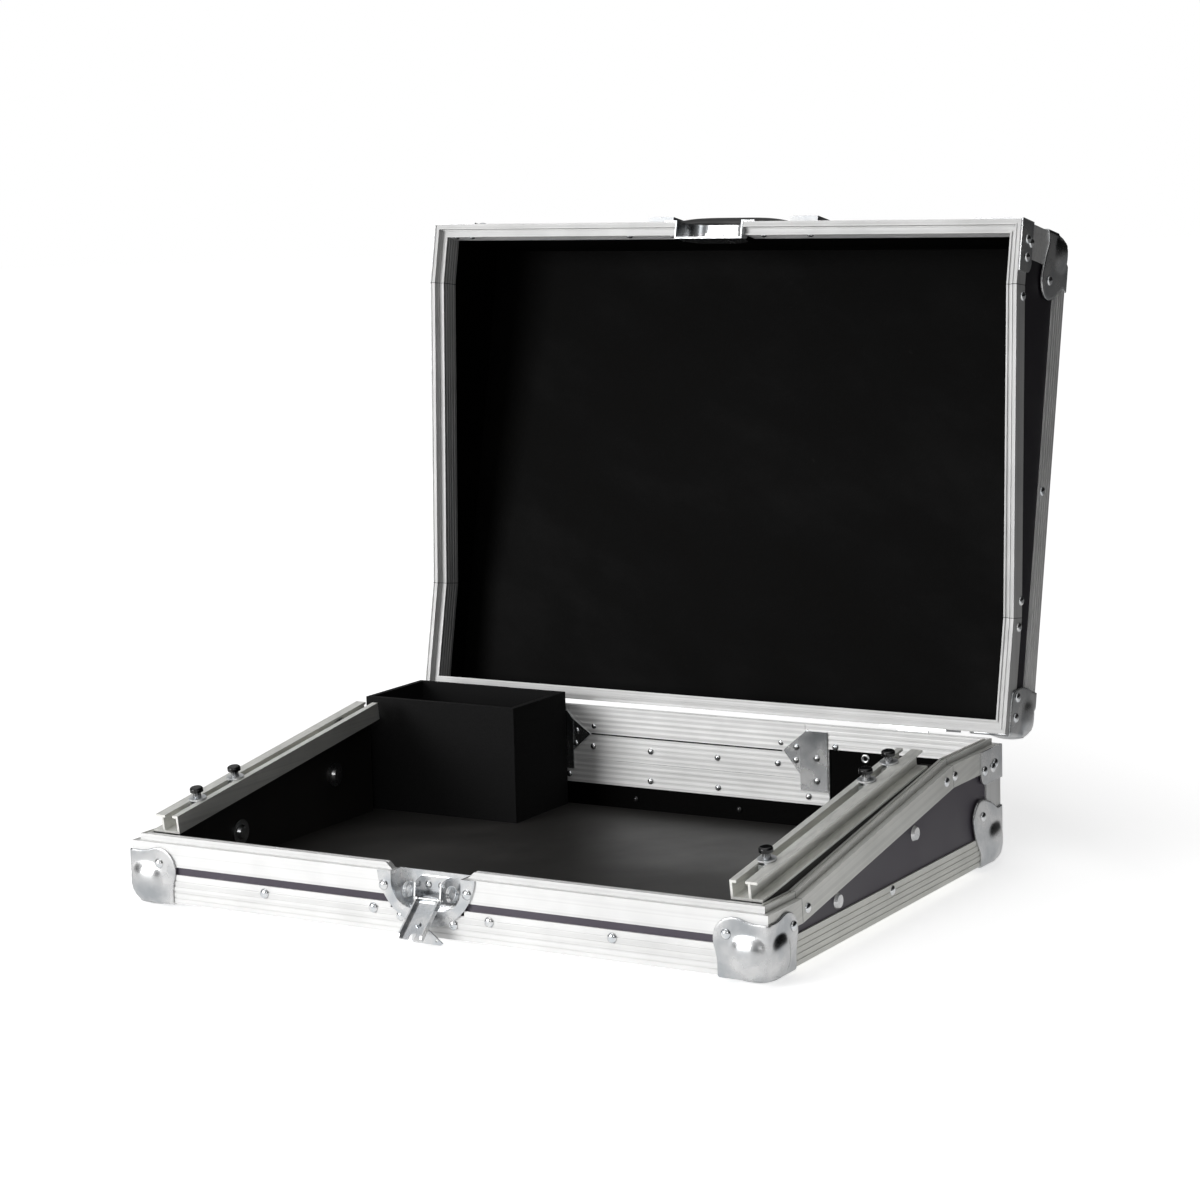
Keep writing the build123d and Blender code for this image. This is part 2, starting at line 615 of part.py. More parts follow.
HEAD_R = 5.7
HEAD_HIGH = 2.2
WASHER_R = 9.5
WASHER = 1.5
with BuildPart() as wall_bolts:
    for side in (-1, 1):
        for distance, z in WALL_BOLTS:
            axis = Plane(origin=(side * x_ply, back(distance), z), x_dir=(0, 1, 0),
                         z_dir=(side, 0, 0))
            seat = Plane(origin=(side * x_board, back(distance), z), x_dir=(0, 1, 0),
                         z_dir=(-side, 0, 0))
            disc(axis, BOLT_R, x_board - x_ply)
            disc(seat, WASHER_R, WASHER)
            for face in (axis, seat.offset(WASHER)):
                with BuildSketch(face) as head:
                    Circle(HEAD_R)
                extrude(head.sketch, amount=HEAD_HIGH, taper=30)
save(wall_bolts, "wall_bolts")

# cable compartment
BOX_WALL = 4.5
BOX_RIGHT = 148.5 - x_side
BOX_FRONT = board_far[0] + 8.3
BOX_REAR = y_clear - THIN_SHEET - 0.4
BOX_TOP = UNDER + 99.5
with BuildPart() as compartment:
    block(-x_clear + 0.4, BOX_RIGHT, BOX_FRONT, BOX_REAR, floor_top, BOX_TOP)
    block(-x_clear + 0.4 + BOX_WALL, BOX_RIGHT - BOX_WALL, BOX_FRONT + BOX_WALL,
          BOX_REAR - BOX_WALL, floor_top + BOX_WALL, BOX_TOP, Mode.SUBTRACT)
save(compartment, "compartment")

# rack screws with washers and sliding nuts
SCREW_HEAD_R = 5.0
SCREW_HEAD = 3.6
SCREW_NECK = 4.5
CUP_R = 6.6
CUP = 1.2
NUT_HALF = 4.6
SLIDE_NUT = 4.5
NUT_DROP = 2.2                   # top of the nut under the top of the rail
SCREW_DOWN = 10.5


def rail_frame(side, distance, lift):
    """Plane across a rail at a place along it, z square to its top face."""
    return Plane(origin=(side * RAIL_X, *on_rail(distance, lift)), x_dir=(1, 0, 0),
                 z_dir=(0, -tilt[1], tilt[0]))


SCREWS = [(-1, 35.4), (-1, 82.0), (1, 38.0), (1, 193.3), (1, 231.0)]
for number, (side, distance) in enumerate(SCREWS, start=1):
    with BuildPart() as rack_screw:
        disc(rail_frame(side, distance, FIT + CUP + SCREW_NECK), SCREW_HEAD_R, SCREW_HEAD)
        fillet(rack_screw.edges().filter_by(GeomType.CIRCLE).sort_by(Axis.Z)[-1], SCREW_HEAD / 2)
        disc(rail_frame(side, distance, FIT + CUP + SCREW_NECK), BOLT_R, -SCREW_NECK - SCREW_DOWN)
        disc(rail_frame(side, distance, FIT), CUP_R, CUP, BOLT_R + FIT / 2)
        with BuildSketch(rail_frame(side, distance, -NUT_DROP)) as nut:
            Rectangle(2 * NUT_HALF, 2 * NUT_HALF)
        extrude(nut.sketch, amount=-SLIDE_NUT)
    save(rack_screw, f"rack_screw_{number}")

SPARE_NUT = RAIL_LONG - 38.0
with BuildPart() as spare_nut:
    with BuildSketch(rail_frame(-1, SPARE_NUT, -NUT_DROP)) as nut:
        Rectangle(2 * NUT_HALF, 2 * NUT_HALF)
        Circle(BOLT_R, mode=Mode.SUBTRACT)
    extrude(nut.sketch, amount=-SLIDE_NUT)
save(spare_nut, "spare_nut")

# lid, modelled closed and then turned open
with BuildPart() as lid_top_panel:
    block(-x_ply, x_ply, -y_ply, y_ply, roof_under, TOP - SKIN)
    corner_relief(TOP, -1)
save(lid_top_panel, "lid_top_panel", in_lid=True)

lid_pocket = (*pocket_cut, -y_ply, -y_in, UNDER, POCKET_HIGH + THIN_SHEET + FIT, Mode.SUBTRACT)
with BuildPart() as lid_front_panel:
    block(-x_in, x_in, -y_ply, -y_in, FRONT_LEDGE + lid_edge_low, roof_under)
    block(*lid_pocket)
    corner_relief(TOP, -1)
save(lid_front_panel, "lid_front_panel", in_lid=True)

with BuildPart() as lid_rear_panel:
    block(-x_in, x_in, y_in, y_ply, REAR_LEDGE + lid_edge_low, roof_under)
    corner_relief(TOP, -1)
save(lid_rear_panel, "lid_rear_panel", in_lid=True)

lid_wall = clipped(shifted(closing_line, lid_edge_low), -y_ply, y_ply)
for side, name in ((-1, "left"), (1, "right")):
    with BuildPart() as lid_side_panel:
        outline = lid_wall + [(y_ply, roof_under), (-y_ply, roof_under)]
        side_wall(outline, min(side * x_in, side * x_ply), max(side * x_in, side * x_ply))
        corner_relief(TOP, -1)
    save(lid_side_panel, f"lid_{name}_panel", in_lid=True)

with BuildPart() as lid_rim_front:
    cross_rim(lid_rim, -1, FRONT_LEDGE)
    block(*pocket_cut, y_front - 1, -y_clear + 1, UNDER, TOP, Mode.SUBTRACT)
save(lid_rim_front, "lid_rim_front", in_lid=True)

with BuildPart() as lid_rim_rear:
    cross_rim(lid_rim, 1, REAR_LEDGE)
save(lid_rim_rear, "lid_rim_rear", in_lid=True)

for side, name in ((-1, "left"), (1, "right")):
    with BuildPart() as lid_rim_side:
        side_rim(lid_rim, side)
    save(lid_rim_side, f"lid_rim_{name}", in_lid=True)

with BuildPart() as lid_edge_front:
    prism([(x, -y) for x, y in angle(EDGE_LEG)],
          section((-edge_x, y_front, TOP), (0, 1, 0), (1, 0, 0)), 2 * edge_x)
save(lid_edge_front, "lid_edge_front", in_lid=True)

with BuildPart() as lid_edge_rear:
    prism([(x, -y) for x, y in angle(EDGE_LEG)],
          section((edge_x, y_rear, TOP), (0, -1, 0), (-1, 0, 0)), 2 * edge_x)
save(lid_edge_rear, "lid_edge_rear", in_lid=True)

with BuildPart() as lid_edge_sides:
    for side in (-1, 1):
        start = (side * x_side, -side * edge_y, TOP)
        prism([(x, -y) for x, y in angle(EDGE_LEG)],
              section(start, (-side, 0, 0), (0, side, 0)), 2 * edge_y)
save(lid_edge_sides, "lid_edge_sides", in_lid=True)

with BuildPart() as lid_corner_edges:
    for side in (-1, 1):
        upright(side, -1, FRONT_LEDGE + OUTER_FLANGE, TOP - edge_end)
        upright(side, 1, REAR_LEDGE + OUTER_FLANGE, TOP - edge_end)
save(lid_corner_edges, "lid_corner_edges", in_lid=True)

with BuildPart() as lid_corners:
    for front, sizes in ((-1, (51.0, 51.0, 40.0, 49.0, LOBE)),
                         (1, (45.0, 45.0, 45.0, 45.0, 5.0))):
        with BuildPart(mode=Mode.PRIVATE) as corner:
            ball_corner(-1, front, TOP, -1, *sizes)
        add(corner.part)
        mirror(corner.part, about=Plane.YZ)
save(lid_corners, "lid_corners", in_lid=True)

with BuildPart() as lid_braces:
    for side in (-1, 1):
        with BuildPart(mode=Mode.PRIVATE) as corner:
            brace(side, -1, FRONT_LEDGE + 1.0, FRONT_LEDGE + 23.0)
        add(corner.part)
save(lid_braces, "lid_braces", in_lid=True)

# hinges
HINGE_X = x_side - 75.0
LEAF_HALF = 27.0
LEAF = 1.6
BARREL_R = 2.9
PIN_R = 1.6
KNUCKLE = 14.0           # length of each outer knuckle, the lid knuckle fills the middle
BASE_LEAF_LOW = REAR_LEDGE - 34.0
LID_LEAF_HIGH = REAR_LEDGE + 30.0


def leaf(low, high, arm_low, arm_high, spans, middle_x, bore):
    """Hinge leaf on the rear face with an arm out to its knuckles."""
    for x0, x1 in spans:
        block(middle_x + x0, middle_x + x1, y_rear + LEAF / 2, HINGE_Y, arm_low, arm_high)
        plane = Plane(origin=(middle_x + x0, HINGE_Y, HINGE_Z), x_dir=(0, 1, 0), z_dir=(1, 0, 0))
        with BuildSketch(plane) as knuckle:
            Circle(BARREL_R)
        extrude(knuckle.sketch, amount=x1 - x0)
    block(middle_x - LEAF_HALF, middle_x + LEAF_HALF, y_rear, y_rear + LEAF, low, high)
    for x0, x1 in spans:
        if bore:
            plane = Plane(origin=(middle_x + x0, HINGE_Y, HINGE_Z), x_dir=(0, 1, 0),
                          z_dir=(1, 0, 0))
            with BuildSketch(plane) as hole:
                Circle(PIN_R + FIT)
            extrude(hole.sketch, amount=x1 - x0, mode=Mode.SUBTRACT)


arm_under = HINGE_Z - BARREL_R - 1.2
arm_over = HINGE_Z + BARREL_R + 0.8
with BuildPart() as hinge_base:
    for side in (-1, 1):
        outer = [(-LEAF_HALF, KNUCKLE - LEAF_HALF), (LEAF_HALF - KNUCKLE, LEAF_HALF)]
        leaf(BASE_LEAF_LOW, arm_under + LEAF, arm_under, arm_under + LEAF, outer,
             side * HINGE_X, False)
        pin = Plane(origin=(side * HINGE_X - LEAF_HALF, HINGE_Y, HINGE_Z), x_dir=(0, 1, 0),
                    z_dir=(1, 0, 0))
        with BuildSketch(pin) as rod:
            Circle(PIN_R)
        extrude(rod.sketch, amount=2 * LEAF_HALF)
save(hinge_base, "hinge_base")

with BuildPart() as hinge_lid:
    for side in (-1, 1):
        inner = [(KNUCKLE + FIT - LEAF_HALF, LEAF_HALF - KNUCKLE - FIT)]
        leaf(arm_over - LEAF, LID_LEAF_HIGH, arm_over - LEAF, arm_over, inner,
             side * HINGE_X, True)
save(hinge_lid, "hinge_lid", in_lid=True)

# hinge of the cable flap
FLAP_LEAF = 1.0
FLAP_KNUCKLE = 13.0
FLAP_PIN_R = 0.9


def flap_leaf(low, high, spans, middle_x):
    """Thin leaf on the outside with knuckles at its spans."""
    block(middle_x - FLAP_HINGE_HALF, middle_x + FLAP_HINGE_HALF, y_rear, y_rear + FLAP_LEAF,
          low, high)
    for x0, x1 in spans:
        block(middle_x + x0, middle_x + x1, y_rear, y_rear + FLAP_LEAF,
              min(low, FLAP_PIN[1]), max(high, FLAP_PIN[1]))
        plane = Plane(origin=(middle_x + x0, *FLAP_PIN), x_dir=(0, 1, 0), z_dir=(1, 0, 0))
        with BuildSketch(plane) as knuckle:
            Circle(FLAP_BARREL)
        extrude(knuckle.sketch, amount=x1 - x0)


with BuildPart() as flap_hinge_low:
    for sign in (-1, 1):
        middle_x = flap_middle + sign * FLAP_HINGE_X
        flap_leaf(FLAP_LOW - 14.0, FLAP_LOW - FLAP_BARREL - 0.5,
                  [(-FLAP_HINGE_HALF, FLAP_KNUCKLE - FLAP_HINGE_HALF),
                   (FLAP_HINGE_HALF - FLAP_KNUCKLE, FLAP_HINGE_HALF)], middle_x)
        disc(Plane(origin=(middle_x - FLAP_HINGE_HALF, *FLAP_PIN), x_dir=(0, 1, 0),
                   z_dir=(1, 0, 0)), FLAP_PIN_R, 2 * FLAP_HINGE_HALF)
save(flap_hinge_low, "flap_hinge_low")

with BuildPart() as flap_hinge_high:
    for sign in (-1, 1):
        middle_x = flap_middle + sign * FLAP_HINGE_X
        inner_half = FLAP_HINGE_HALF - FLAP_KNUCKLE - FIT
        flap_leaf(FLAP_LOW + FLAP_BARREL + 0.2, FLAP_LOW + 14.0, [(-inner_half, inner_half)],
                  middle_x)
        with BuildSketch(Plane(origin=(middle_x - inner_half, *FLAP_PIN), x_dir=(0, 1, 0),
                               z_dir=(1, 0, 0))) as bore:
            Circle(FLAP_PIN_R + FIT)
        extrude(bore.sketch, amount=2 * inner_half, mode=Mode.SUBTRACT)
save(flap_hinge_high, "flap_hinge_high")

# latch


def pocket_face(recess, ledge, far, half, rounding):
    """Outline of the recess: straight at the closing line, rounded at its far end."""
    with Locations((MIDDLE, (ledge + far) / 2)):
        Rectangle(2 * half, abs(far - ledge))
    ends = recess.vertices().sort_by(Axis.Y)
    fillet(ends[:2] if far < ledge else ends[-2:], rounding)


def dish(ledge, up, far):
    """Half-round steel dish on the front face with a recess open at the closing line."""
    plane = Plane(origin=(0, y_front, 0), x_dir=(1, 0, 0), z_dir=(0, -1, 0))
    with BuildSketch(plane) as face:
        with Locations((MIDDLE, ledge - up * DISH_MIDDLE)):
            Circle(DISH_R)
        with Locations((MIDDLE, ledge - up * 50)):
            Rectangle(2 * DISH_R + 2, 100, mode=Mode.SUBTRACT)
    extrude(face.sketch, amount=THIN_SHEET)
    with BuildSketch(plane.offset(-POCKET_DEEP - THIN_SHEET)) as outside:
        pocket_face(outside, ledge, far + up * THIN_SHEET, POCKET + THIN_SHEET,
                    POCKET_ROUND + THIN_SHEET)
    extrude(outside.sketch, amount=POCKET_DEEP + 2 * THIN_SHEET)
    with BuildSketch(plane.offset(-POCKET_DEEP)) as inside:
        pocket_face(inside, ledge - up, far, POCKET, POCKET_ROUND)
    extrude(inside.sketch, amount=POCKET_DEEP + 5, mode=Mode.SUBTRACT)


with BuildPart() as latch_dish:
    dish(FRONT_LEDGE, -1, POCKET_LOW)
save(latch_dish, "latch_dish")

with BuildPart() as lid_dish:
    dish(FRONT_LEDGE + CLOSING_GAP, 1, POCKET_HIGH)
save(lid_dish, "lid_dish", in_lid=True)

# The link hangs out of the recess from a bracket on its back wall. It is a channel whose
# open side faces up and out while it hangs, with the wing under it.
HANG = radians(49.0)
PIVOT = (y_front + 2.6, UNDER + 25.4)
LINK_HALF = 9.6
LINK_LONG = 33.0
LINK_NOTCH = 2.6         # half width of the notch in its end
LINK = 1.2
LINK_LIP = 4.0
PIVOT_R = 1.6
BRACKET_HALF = LINK_HALF + FIT + LINK
BRACKET_HIGH = UNDER + 39.5
WING_AT = 20.0
RIVET_R = 2.4


def hanging(distance, lift=0.0):
    """Plane of the hanging link: x across, y back towards the pivot, z out of its open side."""
    y = PIVOT[0] - sin(HANG) * distance - cos(HANG) * lift
    z = PIVOT[1] - cos(HANG) * distance + sin(HANG) * lift
    return Plane(origin=(MIDDLE, y, z), x_dir=(1, 0, 0), z_dir=(0, -cos(HANG), sin(HANG)))


def pin_disc(x0, x1, radius, mode=Mode.ADD):
    """Round piece on the pivot of the latch between two x."""
    plane = Plane(origin=(x0, *PIVOT), x_dir=(0, 1, 0), z_dir=(1, 0, 0))
    with BuildSketch(plane) as round_face:
        Circle(radius)
    extrude(round_face.sketch, amount=x1 - x0, mode=mode)


with BuildPart() as latch_bracket:
    back_y = y_front + POCKET_DEEP
    block(MIDDLE - BRACKET_HALF, MIDDLE + BRACKET_HALF, back_y - LINK, back_y,
          UNDER + 25.0, BRACKET_HIGH)
    for sign in (-1, 1):
        x0, x1 = sorted((MIDDLE + sign * (LINK_HALF + FIT), MIDDLE + sign * BRACKET_HALF))
        side_wall([(back_y, UNDER + 25.0), (back_y, BRACKET_HIGH), (PIVOT[0] - 1, BRACKET_HIGH - 3),
                   (PIVOT[0] - 2.2, PIVOT[1] + 2), (PIVOT[0] - 2.2, PIVOT[1] - 1.8),
                   (PIVOT[0] + 1.8, PIVOT[1] - 1.8)], x0, x1)
    pin_disc(MIDDLE - BRACKET_HALF - 0.8, MIDDLE + BRACKET_HALF + 0.8, PIVOT_R - 0.4)
save(latch_bracket, "latch_bracket")

with BuildPart() as latch_link:
    with BuildSketch(hanging(0, -LINK_LIP / 2)) as plate:
        with Locations((0, -(LINK_LONG + 3) / 2)):
            Rectangle(2 * LINK_HALF, LINK_LONG - 3)
        with Locations((0, -LINK_LONG), (0, 3 - LINK_LONG)):
            Circle(LINK_NOTCH, mode=Mode.SUBTRACT)
    extrude(plate.sketch, amount=LINK)
    for sign in (-1, 1):
        x0, x1 = sorted((MIDDLE + sign * (LINK_HALF - LINK), MIDDLE + sign * LINK_HALF))
        rows = [(2.0, -LINK_LIP / 2), (LINK_LONG, -LINK_LIP / 2), (LINK_LONG, LINK_LIP / 2 - 1),
                (LINK_LONG - 2, LINK_LIP / 2), (-1.5, LINK_LIP / 2), (-1.5, -1.0)]
        places = [hanging(*row).origin for row in rows]
        side_wall([(place.Y, place.Z) for place in places], x0, x1)
    pin_disc(MIDDLE - LINK_HALF, MIDDLE - LINK_HALF + LINK, PIVOT_R + 0.9)
    pin_disc(MIDDLE + LINK_HALF - LINK, MIDDLE + LINK_HALF, PIVOT_R + 0.9)
    pin_disc(MIDDLE - LINK_HALF - 1, MIDDLE + LINK_HALF + 1, PIVOT_R - 0.4 + FIT / 3,
             Mode.SUBTRACT)
    disc(hanging(WING_AT, LINK - LINK_LIP / 2), RIVET_R, 1.4)
save(latch_link, "latch_link")

WING_LEFT = 6.0
WING_RIGHT = 19.0
WING = 1.4
WING_LONG = 12.0
WING_HOLE = 0.9
with BuildPart() as latch_wing:
    hub = hanging(WING_AT, -LINK_LIP / 2 - FIT)
    disc(hub, RIVET_R + 2.2, -WING)
    y, z = hub.origin.Y + sin(HANG) * WING / 2, hub.origin.Z - cos(HANG) * WING / 2
    fin = Plane(origin=(MIDDLE, y + WING / 2, z), x_dir=(1, 0, 0), z_dir=(0, -1, 0))
    with BuildSketch(fin) as plate:
        with BuildLine():
            Polyline((-4.5, 0), (-WING_LEFT, 1.5 - WING_LONG), (1.5 - WING_LEFT, -WING_LONG),
                     (WING_RIGHT - 1.5, -WING_LONG), (WING_RIGHT, 1.5 - WING_LONG), (5.0, 0),
                     close=True)
        make_face()
        with Locations((WING_RIGHT - 5, 3 - WING_LONG)):
            Circle(WING_HOLE, mode=Mode.SUBTRACT)
    extrude(plate.sketch, amount=WING)
save(latch_wing, "latch_wing")

KEEPER_Z = FRONT_LEDGE + 12.0
with BuildPart() as lid_keeper:
    block(MIDDLE - 11, MIDDLE + 11, y_front + POCKET_DEEP - LINK, y_front + POCKET_DEEP,
          KEEPER_Z - 6, KEEPER_Z + 8)
    block(MIDDLE - 8, MIDDLE + 8, y_front + POCKET_DEEP - 4.5, y_front + POCKET_DEEP,
          KEEPER_Z - 1, KEEPER_Z + 0.6)
save(lid_keeper, "lid_keeper", in_lid=True)

# carrying handle
HANDLE_Z = UNDER + 93.0
HANDLE_HALF = 76.0
CAP_LONG = 24.0
CAP_HIGH = 26.0
CAP_DEEP = 12.0
STRAP_WIDE = 22.0
STRAP = 3.0
STRAP_RISE = 0.8
with BuildPart() as handle_caps:
    for sign in (-1, 1):
        x0, x1 = sorted((MIDDLE + sign * (HANDLE_HALF - CAP_LONG), MIDDLE + sign * HANDLE_HALF))
        block(x0, x1, y_front + SKIN - CAP_DEEP, y_front + SKIN, HANDLE_Z - CAP_HIGH / 2,
              HANDLE_Z + CAP_HIGH / 2)
        x_in_side, x_out_side = sorted((MIDDLE + sign * (HANDLE_HALF - CAP_LONG - 1),
                                        MIDDLE + sign * (HANDLE_HALF - 2)))
        block(x_in_side, x_out_side, y_front + SKIN - CAP_DEEP + 1.8, y_front + SKIN + 1,
              HANDLE_Z - CAP_HIGH / 2 + 1.5, HANDLE_Z + CAP_HIGH / 2 - 1.5, Mode.SUBTRACT)
save(handle_caps, "handle_caps", in_lid=True)

with BuildPart() as handle_strap:
    plane = Plane(origin=(MIDDLE, 0, HANDLE_Z - STRAP_WIDE / 2), x_dir=(1, 0, 0), z_dir=(0, 0, 1))
    end = HANDLE_HALF - 4
    bend = HANDLE_HALF - CAP_LONG
    inner_y = y_front + SKIN - 4.5
    with BuildSketch(plane) as strip:
        with BuildLine():
            under = ThreePointArc((-bend, inner_y), (0, inner_y - STRAP_RISE), (bend, inner_y))
            over = ThreePointArc((bend, inner_y - STRAP), (0, inner_y - STRAP - STRAP_RISE),
                                 (-bend, inner_y - STRAP))
            Polyline(under @ 1, (end, inner_y), (end, inner_y - STRAP), over @ 0)
            Polyline(over @ 1, (-end, inner_y - STRAP), (-end, inner_y), under @ 0)
        make_face()
    extrude(strip.sketch, amount=STRAP_WIDE)
save(handle_strap, "handle_strap", in_lid=True)
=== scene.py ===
"""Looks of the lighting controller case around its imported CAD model.

Metres, +Z up, front to -Y. Values that are given in mm come to metres by MM.
"""
import json
import math

import bmesh
import bpy
from mathutils import Matrix, Vector
from mathutils.bvhtree import BVHTree


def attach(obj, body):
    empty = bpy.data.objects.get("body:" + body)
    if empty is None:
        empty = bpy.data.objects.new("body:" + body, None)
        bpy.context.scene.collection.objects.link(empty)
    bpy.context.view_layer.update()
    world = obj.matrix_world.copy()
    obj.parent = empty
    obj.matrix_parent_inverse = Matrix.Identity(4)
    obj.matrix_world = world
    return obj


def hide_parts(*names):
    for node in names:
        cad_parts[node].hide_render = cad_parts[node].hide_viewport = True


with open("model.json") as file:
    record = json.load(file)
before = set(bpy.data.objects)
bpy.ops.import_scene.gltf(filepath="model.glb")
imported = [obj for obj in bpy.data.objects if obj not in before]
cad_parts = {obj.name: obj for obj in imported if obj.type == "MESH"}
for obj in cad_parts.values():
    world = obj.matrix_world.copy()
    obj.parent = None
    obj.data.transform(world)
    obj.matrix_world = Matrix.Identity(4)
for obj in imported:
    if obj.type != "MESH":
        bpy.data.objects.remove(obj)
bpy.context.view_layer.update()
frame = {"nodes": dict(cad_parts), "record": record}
nodes = frame["nodes"]
bodies = frame["record"]["behaviour"]["bodies"]
MM = 0.001

# Sizes shared with the CAD model, mm.
HINGE = Vector((0, 196.8, 88.3))            # axis of the lid, along x
OPEN_ANGLE = math.radians(-102)             # turn of the lid from closed to open
X_OUT, Y_OUT = 258.0, 190.0                 # outer faces of the walls
BOTTOM_Z, TOP_Z = 5.0, 143.0                # underside and top of the closed case
MIDDLE = -3.0                               # x of the latch, the handle and the cable flap
KINKS = ((-141.5, 48.0), (103.5, 89.5))     # (y, z) of the bends in the closing line
SLOPE = math.atan2(KINKS[1][1] - KINKS[0][1], KINKS[1][0] - KINKS[0][0])
RAIL_SLOPE = math.radians(8.4)
RACK_SCREWS = 5
HEAD_AND_NECK = 8.0                         # of a rack screw, above its washer

LEFT, RIGHT = Vector((-1, 0, 0)), Vector((1, 0, 0))
FRONT, REAR, UP = Vector((0, -1, 0)), Vector((0, 1, 0)), Vector((0, 0, 1))


def opened(point):
    """Place in the open lid of a point given for the closed lid, mm."""
    return HINGE + Matrix.Rotation(OPEN_ANGLE, 3, "X") @ (Vector(point) - HINGE)


def turned(direction):
    """Direction in the open lid of one given for the closed lid."""
    return Matrix.Rotation(OPEN_ANGLE, 3, "X") @ Vector(direction)


# Parts of materials.
def add(tree, kind, values=None, **settings):
    """New shader node. values fills its inputs with numbers or with other nodes' outputs."""
    node = tree.nodes.new(kind)
    for key, value in settings.items():
        setattr(node, key, value)
    for key, value in (values or {}).items():
        if isinstance(value, bpy.types.NodeSocket):
            tree.links.new(value, node.inputs[key])
        else:
            node.inputs[key].default_value = value
    return node


def start(name, colour, metallic, roughness, **more):
    """Material with one Principled shader and constant sockets."""
    made = bpy.data.materials.new(name)
    made.use_nodes = True
    shader = made.node_tree.nodes["Principled BSDF"]
    shader.inputs["Base Color"].default_value = (*colour, 1)
    shader.inputs["Metallic"].default_value = metallic
    shader.inputs["Roughness"].default_value = roughness
    for key, value in more.items():
        shader.inputs[key.replace("_", " ")].default_value = value
    return made, made.node_tree, shader


def finish(tree, shader, colour, roughness, height, strength, distance=0.0003):
    """Wires a shader's colour and roughness, and its bump from a height."""
    tree.links.new(colour, shader.inputs["Base Color"])
    tree.links.new(roughness, shader.inputs["Roughness"])
    relief = add(tree, "ShaderNodeBump",
                 {"Height": height, "Strength": strength, "Distance": distance})
    tree.links.new(relief.outputs["Normal"], shader.inputs["Normal"])


def coordinates(tree, kind="Object"):
    """Texture coordinates."""
    return add(tree, "ShaderNodeTexCoord").outputs[kind]


def upward(tree, kind="Object"):
    """The coordinates' z."""
    return add(tree, "ShaderNodeSeparateXYZ", {0: coordinates(tree, kind)}).outputs["Z"]


def reach_along(tree, direction, kind="Object"):
    """How far the coordinates reach along a direction."""
    return add(tree, "ShaderNodeVectorMath", {0: coordinates(tree, kind), 1: direction},
               operation="DOT_PRODUCT").outputs["Value"]


def maths(tree, operation, *values):
    """Result of one operation on numbers or on other nodes' outputs."""
    return add(tree, "ShaderNodeMath", dict(enumerate(values)), operation=operation).outputs[0]


def spots(tree, scale, detail=3.0, stretch=(1, 1, 1), turn=(0, 0, 0), rough=0.5):
    """Noise in the object's own space, stretched along its axes."""
    mapped = add(tree, "ShaderNodeMapping",
                 {"Vector": coordinates(tree), "Scale": tuple(1 / value for value in stretch),
                  "Rotation": turn}, vector_type="TEXTURE")
    return add(tree, "ShaderNodeTexNoise", {"Vector": mapped.outputs["Vector"], "Scale": scale,
                                            "Detail": detail, "Roughness": rough}).outputs["Fac"]


def ramp(tree, fac, low, high, at=(0.3, 0.7)):
    """Colour or grey ramp between two values."""
    node = add(tree, "ShaderNodeValToRGB", {"Fac": fac})
    for element, place, value in zip(node.color_ramp.elements, at, (low, high)):
        element.position = place
        element.color = (*value, 1) if isinstance(value, tuple) else (value, value, value, 1)
    return node.outputs["Color"]


def blend_colour(tree, fac, a, b, kind="MIX"):
    """Blend of two colours. The inputs of the Mix node for colours are its 0, 6 and 7."""
    node = add(tree, "ShaderNodeMix", data_type="RGBA", blend_type=kind)
    for key, value in ((0, fac), (6, a), (7, b)):
        if isinstance(value, bpy.types.NodeSocket):
            tree.links.new(value, node.inputs[key])
        else:
            node.inputs[key].default_value = (*value, 1) if isinstance(value, tuple) else value
    return node.outputs[2]


SEAM_HALF = 0.00022         # half width of the line at a joint of two extrusions, m
SEAM_COLOUR = (0.03, 0.03, 0.03)
DRAWN = 0.002               # frequency of the noise along the drawing over that across it


def seam_lines(tree, colour, seams):
    """Darkens a hair line where the surface crosses each plane (normal, distance in m)."""
    for normal, distance in seams:
        off = maths(tree, "SUBTRACT", reach_along(tree, normal), distance)
        near = maths(tree, "COMPARE", off, 0.0, SEAM_HALF)
        colour = blend_colour(tree, near, colour, SEAM_COLOUR)
    return colour


def aluminium(name, along, shade=0.78, seams=(), warm=0.0, tilt=0.0, rib=0.0):
    """Satin drawn aluminium: fine streaks and broader die lines along one axis of the object,
    which tilt turns about x. seams are planes, and rib is the spacing along z of stripes of
    painted shade that stand for the grooves between the ribs, in m."""
    made, tree, shader = start(name, (shade, shade, shade), 1.0, 0.6)
    stretch = tuple(DRAWN if axis == along else 1.0 for axis in "xyz")
    turn = (tilt, 0, 0)
    streaks = spots(tree, 1100, 3, stretch, turn, 0.6)
    lines = spots(tree, 330, 1, stretch, turn, 0.5)
    clouds = spots(tree, 28, 3)
    cooler = shade * (1 - warm)
    tint = ramp(tree, streaks, (shade * 0.93, shade * 0.93, cooler * 0.93),
                (shade * 1.03, shade * 1.03, cooler * 1.02))
    die = ramp(tree, lines, 0.92, 1.0, (0.36, 0.50))
    worn = ramp(tree, clouds, 0.90, 1.0)
    colour = blend_colour(tree, 1.0, tint, worn, "MULTIPLY")
    colour = blend_colour(tree, 1.0, colour, die, "MULTIPLY")
    # Stripes of painted shade along z, for the grooves between the ribs.
    if rib:
        wave = maths(tree, "SINE", maths(tree, "MULTIPLY", upward(tree), 2 * math.pi / rib))
        lines = maths(tree, "MULTIPLY_ADD", wave, 0.5, 0.5)
        colour = blend_colour(tree, 1.0, colour, ramp(tree, lines, 0.84, 1.0), "MULTIPLY")
    finish(tree, shader, seam_lines(tree, colour, seams), ramp(tree, streaks, 0.56, 0.70),
           lines, 0.07, 0.0005)
    return made


